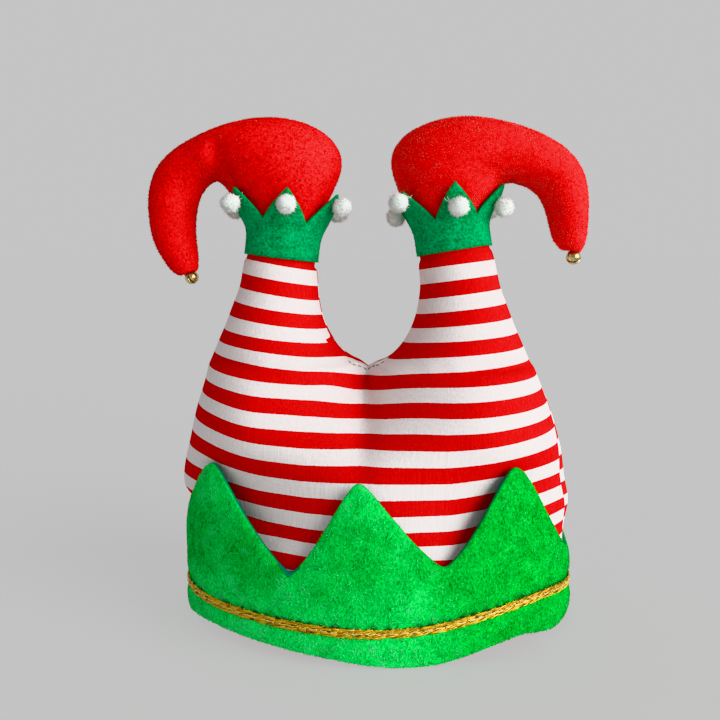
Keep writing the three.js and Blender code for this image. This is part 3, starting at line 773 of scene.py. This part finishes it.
# How far the surface faces outwards: at the band's edges, where it swells, where the lining starts,
# and where it has pile
EDGE_FACING = 0.5
PUFF_FACING = (0.3, 0.8)
LINING_FACING = (-0.5, -0.1)
PILE_FACING = (0.3, 0.7)
TRIM_SHADE_WIDTH = 0.9 * MM  # painted shade along the trim's upper edge, where the pile is left off
VELVET_SEED = 21
VELVET_FIBRES = 46000
VELVET_WIDTH = 0.46 * MM
VELVET_RISE = mm(0.25, 0.55)
VELVET_LEAN = mm(0.7, 1.8)
VELVET_TURN = (9 * MM, 1.6, 0.5)  # size of a swirl, its swing, and the spread of single fibres
VELVET_GREENS = ((0, 0.28, 0.004), (0, 0.485, 0.023), (0.005, 0.71, 0.08), (0.19, 0.89, 0.39))
VELVET_CUTS = (-0.35, 0.35, 1.25)
VELVET_SHADE = (5 * MM, 0.4, 0.55)
# Painted sheen: the pile and its backing are painted paler, a little all over, more near the trim,
# on the points and in patches, and only on the left side, which the light leaves darker
PAINTED_SHEEN_ALL = 0.25
PAINTED_SHEEN_TRIM = 0.75
PAINTED_SHEEN_TRIM_RISE = 14 * MM
PAINTED_SHEEN_TIPS = 0.6
PAINTED_SHEEN_TIP_HEIGHTS = mm(62, 92)
PAINTED_SHEEN_PATCHES = 0.35
PAINTED_SHEEN_PATCH_SIZE = 14 * MM
PAINTED_SHEEN_END = mm(20, 75)
PALE_REACH = 1.4  # pale fibres show more of their length
NOTCH_MIDDLE = -30.4 * MM  # the lining shows low in the front left notch
NOTCH_LOW = 45.2 * MM
NOTCH_SLOPE = 0.85
NOTCH_HALF_WIDTH, NOTCH_BLUR = mm(6, 0.5)


def trim_sections():
    """The trim's solid: the corners of one section after another round the rim."""
    form = solid_form("gold_trim")
    points = np.array([corner.co for corner in form.verts])
    form.free()
    return points[np.argsort(rim_angle(points))].reshape(-1, TRIM_CORNERS, 3)


def above_trim(points):
    """Height of each point over the middle of the trim there."""
    sections = trim_sections()
    places = rim_angle(sections.mean(axis=1))
    heights = (sections[:, :, 2].min(axis=1) + sections[:, :, 2].max(axis=1)) / 2
    return points[:, 2] - np.interp(rim_angle(points), places, heights, period=2 * math.pi)


def painted_velvet_sheen(points):
    """How much painted sheen the pile gets at each point, fading out towards the right."""
    near_trim = np.exp(-(np.maximum(above_trim(points), 0) / PAINTED_SHEEN_TRIM_RISE) ** 2)
    tips = ramp(points[:, 2], *PAINTED_SHEEN_TIP_HEIGHTS)
    patches = np.maximum(smooth_noise(points, PAINTED_SHEEN_PATCH_SIZE, VELVET_SEED + 5), 0)
    left = 1 - ramp(points[:, 0], *PAINTED_SHEEN_END)
    return left * (PAINTED_SHEEN_ALL + PAINTED_SHEEN_TRIM * near_trim + PAINTED_SHEEN_TIPS * tips + PAINTED_SHEEN_PATCHES * patches)


def notch_lining(points):
    """1 where the lining shows in the front left notch, 0 elsewhere."""
    away = np.abs(points[:, 0] - NOTCH_MIDDLE)
    inside = ramp(points[:, 2] - NOTCH_LOW - away * NOTCH_SLOPE, -NOTCH_BLUR, NOTCH_BLUR)
    return inside * ((points[:, 1] < 0) & (away < NOTCH_HALF_WIDTH))


def band_mesh(finish):
    mesh = rounded("velvet_band", "brim_band", finish, levels=3, passes=0)
    points = points_of(mesh)
    outward = rim_outward(points)
    facing = (normals_of(mesh) * outward).sum(axis=1)
    edges = points[np.abs(facing) < EDGE_FACING]
    tree = KDTree(len(edges))
    for index, place in enumerate(edges):
        tree.insert(place, index)
    tree.balance()
    away = np.array([tree.find(place)[2] for place in points])
    above = above_trim(points)
    wave = BAND_WAVE * smooth_noise(points, BAND_WAVE_SIZE, BAND_SEED)
    swell = BAND_PUFF * (1 - np.exp(-away / BAND_PUFF_SPAN)) + wave * ramp(away, 0, BAND_PUFF_SPAN)
    swell = swell * ramp(np.abs(above), *TRIM_PINCH) * ramp(facing, *PUFF_FACING)
    set_points(mesh, points + outward * swell[:, None])
    on_floor(mesh)
    lining = ramp(-facing, *LINING_FACING)
    add_values(mesh, "lining", np.maximum(lining, notch_lining(points)))
    # How much painted sheen each point gets
    add_values(mesh, "painted_sheen", np.clip(painted_velvet_sheen(points), 0, 1))
    # Painted shade along the trim's upper edge
    add_values(mesh, "painted_trim_shade", np.exp(-((above - TRIM_HALF_WIDTH) / TRIM_SHADE_WIDTH) ** 2))
    return mesh


def velvet_pile(mesh):
    def outside(points, normals):
        facing = (normals * rim_outward(points)).sum(axis=1)
        above = above_trim(points)
        clear = (above > TRIM_HALF_WIDTH + TRIM_SHADE_WIDTH) | (above < -TRIM_HALF_WIDTH)
        return ramp(facing, *PILE_FACING) * clear * (1 - notch_lining(points))

    roots, normals = scatter(mesh, VELVET_FIBRES, VELVET_SEED, outside)
    draw = default_rng(VELVET_SEED + 1)
    turn = varied(roots, VELVET_SEED + 2, draw, *VELVET_TURN)
    down = unit(np.array([0, 0, -1]) - normals * (-normals[:, 2:3]))
    lean = turned(down, normals, turn)
    light = varied(roots, VELVET_SEED + 3, draw, *VELVET_SHADE)
    # Painted sheen: the paler fibre shades go where the pile is painted pale
    shades = np.digitize(light + painted_velvet_sheen(roots), VELVET_CUTS)
    rise = draw.uniform(*VELVET_RISE, len(roots))
    reach = draw.uniform(*VELVET_LEAN, len(roots)) * np.where(shades == len(VELVET_CUTS), PALE_REACH, 1)
    tips = roots + normals * rise[:, None] + lean * reach[:, None]
    tips[:, 2] = np.maximum(tips[:, 2], 0)
    roots = roots - normals * ROOT_DEPTH
    fibres = fibre_finishes("velvet_fibre", VELVET_GREENS)
    return pile("velvet_pile", roots, tips, VELVET_WIDTH, fibres, shades, VELVET_SEED + 4)


def brim_band(finish):
    mesh = band_mesh(finish)
    band = add_piece("velvet_band", mesh, ["brim_band"])
    add_piece("velvet_pile", velvet_pile(mesh))


# Gold braid

BRAID_SEED = 31
BRAID_GOLDS = {
    "gold_bright": ((1, 0.76, 0.1), 0.3),
    "gold_plain": ((0.88, 0.56, 0.06), 0.34),
    "gold_bronze": ((0.5, 0.26, 0.03), 0.4),
    "gold_dark": ((0.04, 0.025, 0.004), 0.6),
    "gold_pale": ((1, 0.88, 0.42), 0.3),
}
BRIGHT, PLAIN, _, DARK, PALE = range(len(BRAID_GOLDS))
# Shares of bright, plain, bronze and dark strands in the upper rib, and in the lower one by side:
# painted light, the lower rib brighter on the right, where the light falls
UPPER_SHARES = (0.08, 0.46, 0.3, 0.16)
SHADED_LEFT_SHARES = (0.1, 0.48, 0.28, 0.14)
LIT_RIGHT_SHARES = (0.66, 0.18, 0.02, 0.14)
BRAID_LIT_TURN = mm(-20, 60)  # where the lower rib goes from dull to bright: painted light
STRANDS = 1500  # in each of its two ribs
STRAND_STEPS = 4
STRAND_WIDTH, STRAND_LENGTH, STRAND_SLANT = mm(0.36, 3.4, 0.5)
RIB_MIDDLE, RIB_HALF_WIDTH, RIB_HEIGHT, RIB_BASE = mm(1.2, 1.1, 0.55, 0.35)
RIB_ROUND = 0.8  # how far the ribs fall away to their sides
RIBBON_STEPS = 400
RIBBON_HALF = 2.1 * MM
RIBBON_FORM = ((-1, 0.2), (1, 0.2), (1, 1.2), (-1, 1.2))  # half widths up and rib bases off the band
DASHES = 104  # of the pale thread between the ribs
DASH_LENGTH = mm(3.4, 5.6)
DASH_JITTER = (-0.15, 0.15)
DASH_STEPS = 7
DASH_WAVE, DASH_WIDTH, DASH_STAND = mm(0.22, 0.55, 0.75)
LOOPS = 320  # loose loops of thread along each edge
LOOP_FORM = ((-1, 0), (-0.4, 1), (0.4, 1), (1, 0))  # shares of its half length and its rise
LOOP_HALF_LENGTH = 0.6 * MM
LOOP_RISE = mm(0.15, 0.5)
LOOP_WIDTH = 0.34 * MM


class TrimPath:
    """The middle line of the trim round the band, by its length from the back."""

    def __init__(self):
        sections = trim_sections()
        sections = np.concatenate([sections, sections[:1]])
        each = np.arange(len(sections))
        low = sections[each, sections[:, :, 2].argmin(axis=1)]
        high = sections[each, sections[:, :, 2].argmax(axis=1)]
        self.places = (low + high) / 2
        self.ups = unit(high - low)
        steps = np.linalg.norm(np.diff(self.places, axis=0), axis=1)
        self.lengths = np.append(0, np.cumsum(steps))
        self.total = self.lengths[-1]

    def read(self, table, length):
        columns = [np.interp(length, self.lengths, column, period=self.total) for column in table.T]
        return np.stack(columns, axis=-1)

    def at(self, length, rise, stand):
        """Places at lengths round the trim, a rise above its middle and a stand off the band."""
        place = self.read(self.places, length)
        up = unit(self.read(self.ups, length))
        ahead = unit(self.read(self.places, length + MM) - self.read(self.places, length - MM))
        return place + up * np.expand_dims(rise, -1) + np.cross(ahead, up) * np.expand_dims(stand, -1)


def strand_rows(path, rib, draw):
    """Middle lines of the short strands along one rib, each a row of points."""
    start = draw.uniform(0, path.total, (STRANDS, 1))
    across = draw.uniform(-1, 1, (STRANDS, 1))
    share = np.linspace(-0.5, 0.5, STRAND_STEPS)
    side = np.clip(across + share * STRAND_SLANT / RIB_HALF_WIDTH, -1, 1)
    stand = RIB_BASE + RIB_HEIGHT * np.sqrt(1 - RIB_ROUND * side ** 2) * (1 - share ** 2)
    return path.at(start + STRAND_LENGTH * share, rib + RIB_HALF_WIDTH * side, stand)


def dash_rows(path, draw):
    """Wavy dashes of the pale thread between the two ribs."""
    start = (np.arange(DASHES) + draw.uniform(*DASH_JITTER, DASHES)) * path.total / DASHES
    length = draw.uniform(*DASH_LENGTH, (DASHES, 1))
    phase = draw.uniform(0, 2 * math.pi, (DASHES, 1))
    share = np.linspace(0, 1, DASH_STEPS)
    wave = DASH_WAVE * np.sin(phase + share * 2 * math.pi)
    return path.at(start[:, None] + length * share, wave, DASH_STAND)


def loop_rows(path, edge, draw):
    """Small loops of loose thread along an edge of the braid."""
    middle = draw.uniform(0, path.total, (LOOPS, 1))
    height = draw.uniform(*LOOP_RISE, (LOOPS, 1)) * np.sign(edge)
    along, up = np.array(LOOP_FORM).T
    return path.at(middle + LOOP_HALF_LENGTH * along, edge + height * up, RIB_BASE)


def ribbon(path):
    """The closed ribbon that the ribs are sewn on: points and faces."""
    length = np.arange(RIBBON_STEPS)[:, None] * path.total / RIBBON_STEPS
    side, stand = np.array(RIBBON_FORM).T
    points = path.at(length, RIBBON_HALF * side, RIB_BASE * stand).reshape(-1, 3)
    return points, walls(RIBBON_STEPS, len(RIBBON_FORM)) % len(points)


def pick(draw, shares):
    """Draws a number for each row of shares."""
    limits = np.cumsum(shares, axis=-1)
    return (draw.uniform(size=len(limits))[:, None] > limits[:, :-1]).sum(axis=1)


def gold_trim():
    draw = default_rng(BRAID_SEED)
    path = TrimPath()
    materials = [braid_finish(name, *values) for name, values in BRAID_GOLDS.items()]
    upper = strand_rows(path, RIB_MIDDLE, draw)
    lower = strand_rows(path, -RIB_MIDDLE, draw)
    # Painted light: the lower rib's strands turn brighter towards the right
    right = ramp(lower[:, 0, 0], *BRAID_LIT_TURN)[:, None]
    lower_shares = np.array(SHADED_LEFT_SHARES) * (1 - right) + np.array(LIT_RIGHT_SHARES) * right
    edge = RIB_MIDDLE + RIB_HALF_WIDTH
    loops = np.concatenate([loop_rows(path, edge, draw), loop_rows(path, -edge, draw)])
    groups = [
        (upper, STRAND_WIDTH, pick(draw, np.tile(UPPER_SHARES, (STRANDS, 1)))),
        (lower, STRAND_WIDTH, pick(draw, lower_shares)),
        (dash_rows(path, draw), DASH_WIDTH, np.full(DASHES, PALE)),
        (loops, LOOP_WIDTH, draw.choice([PLAIN, BRIGHT, DARK, DARK], len(loops))),
    ]
    parts = [ribbon(path)]
    shades = [np.full(len(parts[0][1]), PLAIN)]
    for rows, width, kinds in groups:
        parts.append(strand_mesh(rows, width))
        shades.append(np.repeat(kinds, len(parts[-1][1]) // len(rows)))
    mesh = mesh_of("gold_braid", *joined(parts), materials, np.concatenate(shades))
    add_piece("gold_braid", mesh, ["gold_trim"])


# Felt cuffs and plush shoes

FUZZ_TURN = (8 * MM, 2, 0.6)  # as for the velvet
FUZZ_SHADE = (4 * MM, 0.4, 0.6)
STEEP = 0.8  # above it, swirls start from the depth
CUFF_SHARP = math.radians(50)
FELT_SEED = 40
FELT_PILE = (5000, mm(0.1, 0.6), mm(0.4, 1.4), 0.22 * MM)  # fibres, their rise, lean and width
FELT_GREENS = ((0, 0.17, 0.028), (0.02, 0.52, 0.19))
FELT_CUTS = (0.1,)
PLUSH_SEED = 60
PLUSH_PILE = (32000, mm(0.3, 0.9), mm(0.2, 0.9), 0.4 * MM)
PLUSH_DEPTH = 0.8 * MM  # of the backing inside the pile's surface
# Painted light and shade: the same plush, its reds painted darker in the left shoe and lighter in the
# right
PLUSH_REDS_PAINTED_BY_SIDE = {
    "left": ((0.58, 0, 0), (0.82, 0.002, 0.001), (1, 0.2, 0.18)),
    "right": ((0.8, 0, 0), (1, 0.008, 0.006), (1, 0.27, 0.25)),
}
PLUSH_CUTS = {"left": (-0.5, 1.1), "right": (-0.5, 0.3)}  # more pale fibres on the right
TOE_REACH = 22 * MM  # from the bell
TOE_ROUND = 8 * MM  # length over which a toe's end is rounded
TOE_TIP = 0.55  # share of the toe's width left at its very end
TOE_STRETCH = 1.6 * MM
CREASE_PLACE = -82 * MM  # of the upright crease in the front of the left shoe
CREASE_WIDTHS = mm(4, 8)  # left and right of it
CREASE_DEPTH = 4.4 * MM
CREASE_HEIGHTS = mm(247, 255, 271, 281)


def cuff_crease(edge):
    return 1 if edge.calc_face_angle(0) > CUFF_SHARP else 0


def fuzz(mesh, name, form, colours, cuts, seed):
    """Short fibres all over a mesh, swirling from place to place."""
    count, rise, lean, width = form
    roots, normals = scatter(mesh, count, seed)
    draw = default_rng(seed + 1)
    turn = varied(roots, seed + 2, draw, *FUZZ_TURN)
    first = unit(np.cross(normals, np.where(np.abs(normals[:, 2:3]) > STEEP, (0, 1, 0), (0, 0, 1))))
    tips = roots + normals * draw.uniform(*rise, count)[:, None]
    tips += turned(first, normals, turn) * draw.uniform(*lean, count)[:, None]
    roots = roots - normals * ROOT_DEPTH
    shades = np.digitize(varied(roots, seed + 3, draw, *FUZZ_SHADE), cuts)
    return pile(name, roots, tips, width, fibre_finishes(name, colours), shades, seed + 4)


def cuffs(finish):
    for index, side in enumerate(SIDES):
        mesh = rounded(f"{side}_felt_cuff", f"{side}_cuff", finish, levels=2, passes=2, crease=cuff_crease)
        cuff = add_piece(f"{side}_felt_cuff", mesh, [f"{side}_cuff"])
        seed = FELT_SEED + SEED_STEP * index
        hairs = fuzz(mesh, f"{side}_felt_fuzz", FELT_PILE, FELT_GREENS, FELT_CUTS, seed)
        nap = add_piece(f"{side}_felt_fuzz", hairs)


def round_toe(mesh, side):
    """Rounds the end of a toe over, about the line on which its bell hangs."""
    lean = math.radians(BELL_LEAN[side])
    way = np.array([math.sin(lean), 0, -math.cos(lean)])
    points = points_of(mesh)
    near = np.linalg.norm(points - middle_of(f"{side}_bell"), axis=1) < TOE_REACH
    toe = points[near]
    left_over = (toe @ way).max() - toe @ way
    share = np.clip(left_over / TOE_ROUND, 0, 1)
    offset = toe - toe[left_over < MM].mean(axis=0)
    sideways = offset - (offset @ way)[:, None] * way
    keep = TOE_TIP + (1 - TOE_TIP) * np.sqrt(1 - (1 - share) ** 2)
    points[near] = toe - sideways * (1 - keep)[:, None] + way * (TOE_STRETCH * (1 - share))[:, None]
    set_points(mesh, points)


def press_crease(mesh):
    """Presses the upright crease into the front of the left shoe."""
    points, normals = points_of(mesh), normals_of(mesh)
    away = points[:, 0] - CREASE_PLACE
    widths = np.where(away < 0, *CREASE_WIDTHS)
    low, full, fade, high = CREASE_HEIGHTS
    tall = ramp(points[:, 2], low, full) * (1 - ramp(points[:, 2], fade, high))
    depth = CREASE_DEPTH * np.exp(-(away / widths) ** 2) * tall * np.clip(-normals[:, 1], 0, 1)
    set_points(mesh, points - normals * depth[:, None])


def shoes(finish):
    for index, side in enumerate(SIDES):
        mesh = rounded(f"{side}_plush_shoe", f"{side}_shoe", finish, levels=3, passes=3)
        set_points(mesh, points_of(mesh) - normals_of(mesh) * PLUSH_DEPTH)
        round_toe(mesh, side)
        if side == "left":
            press_crease(mesh)
        shoe = add_piece(f"{side}_plush_shoe", mesh, [f"{side}_shoe"])
        seed = PLUSH_SEED + SEED_STEP * index
        # The reds painted for this side's light
        hairs = fuzz(mesh, f"{side}_plush_pile", PLUSH_PILE, PLUSH_REDS_PAINTED_BY_SIDE[side], PLUSH_CUTS[side], seed)
        add_piece(f"{side}_plush_pile", hairs)


# Pompoms and loose thread ends

POMPOMS = 6  # on each cuff
POMPOM_SEED = 100
POMPOM_RADIUS = 5.6 * MM
POMPOM_CORE = 0.86  # share of the radius under the fibres
POMPOM_ROOTS = 0.78
POMPOM_FIBRES = 1800
LUMP = 0.05  # share of the radius by which a pompom is uneven
LUMP_SIZE = 3 * MM
FLUFF_REACH = (0.88, 1.1)
FLUFF_SWAY, FLUFF_WIDTH = mm(0.3, 0.42)
FLUFF_ROUGHNESS = 1
FLUFF_WHITES = ((0.95, 1, 0.96), (0.99, 1, 0.99))
LONG_FIBRE = 0.14  # of the radius by which a few fibres stand out
LONG_SHARE = 0.15
THREAD_STEPS = 6
THREAD_WIDTH = 0.3 * MM
THREAD_WHITE = (0.9, 0.88, 0.86)
# Loose thread ends beside three pompoms: the pompom, then where a thread starts, bends and ends,
# in mm across and up from the pompom's middle
THREAD_ENDS = (
    ("right_pompom_1", (-3, 3), (-6.5, 2.2), (-7.8, 5)),
    ("right_pompom_1", (-3.5, 2.4), (-5.5, 3), (-6, 5.4)),
    ("right_pompom_6", (3.4, 2.4), (5.6, 2.2), (7.4, 4.4)),
    ("right_pompom_6", (3, 3), (5, 4.4), (7, 2.6)),
    ("left_pompom_6", (3, 3), (4.6, 3.2), (7.2, 6.4)),
    ("left_pompom_6", (3.2, 2.4), (6, 2.4), (8.4, 3.2)),
)


def pompom(name, node, finish, fibres, seed):
    form = bmesh.new()
    bmesh.ops.create_icosphere(form, subdivisions=3, radius=POMPOM_RADIUS * POMPOM_CORE)
    core = np.array([corner.co for corner in form.verts])
    core_faces = np.array([[corner.index for corner in face.verts] for face in form.faces])
    form.free()
    draw = default_rng(seed)
    core = core * (1 + LUMP * smooth_noise(core, LUMP_SIZE, seed)[:, None])
    ways = unit(draw.normal(size=(POMPOM_FIBRES, 3)))
    lumps = 1 + LUMP * smooth_noise(ways * POMPOM_RADIUS, LUMP_SIZE, seed)
    longer = LONG_FIBRE * (draw.uniform(size=POMPOM_FIBRES) < LONG_SHARE)
    reach = POMPOM_RADIUS * lumps * (draw.uniform(*FLUFF_REACH, POMPOM_FIBRES) + longer)
    tips = ways * reach[:, None] + draw.normal(size=(POMPOM_FIBRES, 3)) * FLUFF_SWAY
    hair = spikes(ways * POMPOM_RADIUS * POMPOM_ROOTS, tips, FLUFF_WIDTH, seed)
    points, faces = joined([(core, core_faces), hair])
    shades = np.repeat(1 + draw.integers(0, len(fibres), POMPOM_FIBRES), len(FIBRE_FACES))
    choice = np.concatenate([np.zeros(len(core_faces), dtype=int), shades])
    mesh = mesh_of(name, points + middle_of(node), faces, [finish, *fibres], choice)
    add_piece(name, mesh, [node])


def pompoms(finish):
    fibres = fibre_finishes("fluff_fibre", FLUFF_WHITES, FLUFF_ROUGHNESS)
    for index, side in enumerate(SIDES):
        for number in range(1, POMPOMS + 1):
            seed = POMPOM_SEED + SEED_STEP * index + number
            pompom(f"{side}_fluff_{number}", f"{side}_pompom_{number}", finish, fibres, seed)


def thread_ends():
    """Loose ends of the thread that holds the pompoms."""
    share = np.linspace(0, 1, THREAD_STEPS)[:, None]
    rows = []
    for node, *corners in THREAD_ENDS:
        first, bend, last = np.insert(np.array(corners) * MM, 1, 0, axis=1)
        curve = (1 - share) ** 2 * first + 2 * share * (1 - share) * bend + share ** 2 * last
        rows.append(middle_of(node) + curve)
    points, faces = strand_mesh(np.stack(rows), THREAD_WIDTH)
    mesh = mesh_of("thread_ends", points, faces, [fibre_finish("thread_white", THREAD_WHITE)])
    add_piece("thread_ends", mesh)


# Bells

BELL_RADIUS, BELL_WALL, BELL_SLOT, BELL_EYE = mm(4.1, 0.45, 1.1, 0.85)
BELL_CUT = 3 * BELL_RADIUS  # long enough to cut right through
BELL_LEAN = {"left": 29.7, "right": 14.9}  # degrees from straight down, towards +X
BELL_TURN = {"left": 80, "right": 5}  # degrees of the slot round the bell, from across
BELL_TIP = {"left": 12, "right": 48}  # degrees by which its foot swings to the front
RING_RADIUS, RING_WIRE = mm(0.85, 0.32)


def bell_mesh():
    """Sleigh bell hanging straight down, slotted across below."""
    ops = bmesh.ops
    lower = Matrix.Translation((0, 0, -BELL_RADIUS / 2))
    slot = lower @ Matrix.Diagonal((BELL_CUT, BELL_SLOT, BELL_RADIUS, 1))
    lying = Matrix.Rotation(math.pi / 2, 4, "Y")
    inside = BELL_RADIUS - BELL_WALL
    shell = filled("bell_shell", ops.create_uvsphere, u_segments=48, v_segments=32, radius=BELL_RADIUS)
    cutters = [
        filled("bell_hollow", ops.create_uvsphere, u_segments=32, v_segments=24, radius=inside),
        filled("bell_slot", ops.create_cube, size=1, matrix=slot),
        filled(
            "bell_eyes", ops.create_cone, cap_ends=True, segments=24, radius1=BELL_EYE, radius2=BELL_EYE,
            depth=BELL_CUT, matrix=lying,
        ),
    ]
    for cutter in cutters:
        cut = shell.modifiers.new(cutter.name, "BOOLEAN")
        cut.operation = "DIFFERENCE"
        cut.object = cutter
        cut.solver = "EXACT"
    bpy.context.view_layer.update()
    mesh = finished_mesh(shell)
    for made in [shell, *cutters]:
        bpy.data.objects.remove(made)
    return mesh


def add_loop(mesh):
    """Wire loop on top of a bell."""
    bpy.ops.mesh.primitive_torus_add(
        major_radius=RING_RADIUS, minor_radius=RING_WIRE, major_segments=28, minor_segments=12,
        location=(0, 0, BELL_RADIUS + RING_RADIUS - RING_WIRE), rotation=(math.pi / 2, 0, 0),
    )
    ring = bpy.context.object
    ring.data.transform(ring.matrix_world)
    form = bmesh.new()
    form.from_mesh(mesh)
    form.from_mesh(ring.data)
    form.to_mesh(mesh)
    form.free()
    bpy.data.objects.remove(ring)


def bells(finish):
    shape = bell_mesh()
    add_loop(shape)
    for side in SIDES:
        low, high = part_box(f"{side}_bell")
        mesh = shape.copy()
        mesh.name = f"{side}_sleigh_bell"
        lean = Matrix()
        for angle, axis in ((-BELL_LEAN[side], "Y"), (-BELL_TIP[side], "X"), (BELL_TURN[side], "Z")):
            lean = lean @ Matrix.Rotation(math.radians(angle), 4, axis)
        middle = Vector(((low.x + high.x) / 2, (low.y + high.y) / 2, low.z + BELL_RADIUS))
        mesh.transform(Matrix.Translation(middle) @ lean)
        dress(mesh, finish)
        add_piece(f"{side}_sleigh_bell", mesh, [f"{side}_bell"])


# Studio


def key_light():
    """A broad soft light from the right, far away."""
    turn, rise = math.radians(KEY_TURN), math.radians(KEY_RISE)
    level = math.cos(rise)
    data = bpy.data.lights.new("key", "SUN")
    data.energy = KEY_STRENGTH
    data.angle = math.radians(KEY_SPREAD)
    light = placed("key", data)
    direction = Vector((level * math.sin(turn), -level * math.cos(turn), math.sin(rise)))
    light.rotation_euler = direction.to_track_quat("Z", "Y").to_euler()


def surround():
    """A grey world, darker in front, and how its light is shown."""
    world = bpy.data.worlds.new("surround")
    world.use_nodes = True
    place = node(world, "TexCoord").outputs["Generated"]
    depth = node(world, "SeparateXYZ", Vector=place).outputs["Y"]
    grey = node(
        world, "MapRange", Value=depth, From_Min=-SURROUND_TURN, From_Max=SURROUND_TURN,
        To_Min=SURROUND_FRONT, To_Max=SURROUND,
    )
    feed(world, world.node_tree.nodes["Background"].inputs["Color"], grey.outputs["Result"])
    bpy.context.scene.world = world
    bpy.context.scene.view_settings.view_transform = "Khronos PBR Neutral"


def pale_floor():
    disc = bmesh.ops.create_circle
    floor = filled("floor", disc, cap_ends=True, segments=FLOOR_SIDES, radius=FLOOR_RADIUS)
    floor.data.materials.append(new_material(
        "floor_grey", Base_Color=(FLOOR_GREY,) * 3, Roughness=1, Specular_IOR_Level=0,
        Emission_Color=WHITE, Emission_Strength=FLOOR_GLOW,
    ))


def camera():
    data = bpy.data.cameras.new("camera")
    data.lens = CAMERA_LENS
    viewer = placed("camera", data)
    turn = math.radians(CAMERA_TURN)
    viewer.location = (
        AXIS.x + CAMERA_DISTANCE * math.sin(turn),
        AXIS.y - CAMERA_DISTANCE * math.cos(turn),
        CAMERA_HEIGHT,
    )
    tilt = math.radians(90 - CAMERA_TILT)
    viewer.rotation_euler = Euler((tilt, 0, math.radians(CAMERA_TURN + CAMERA_PAN)))
    bpy.context.scene.camera = viewer


camera()
surround()
key_light()
pale_floor()
crotch_hem(striped_body(striped_finish()))
brim_band(velvet_finish())
gold_trim()
cuffs(felt_finish())
shoes(plush_finish())
pompoms(fluff_finish())
thread_ends()
bells(brass_finish())
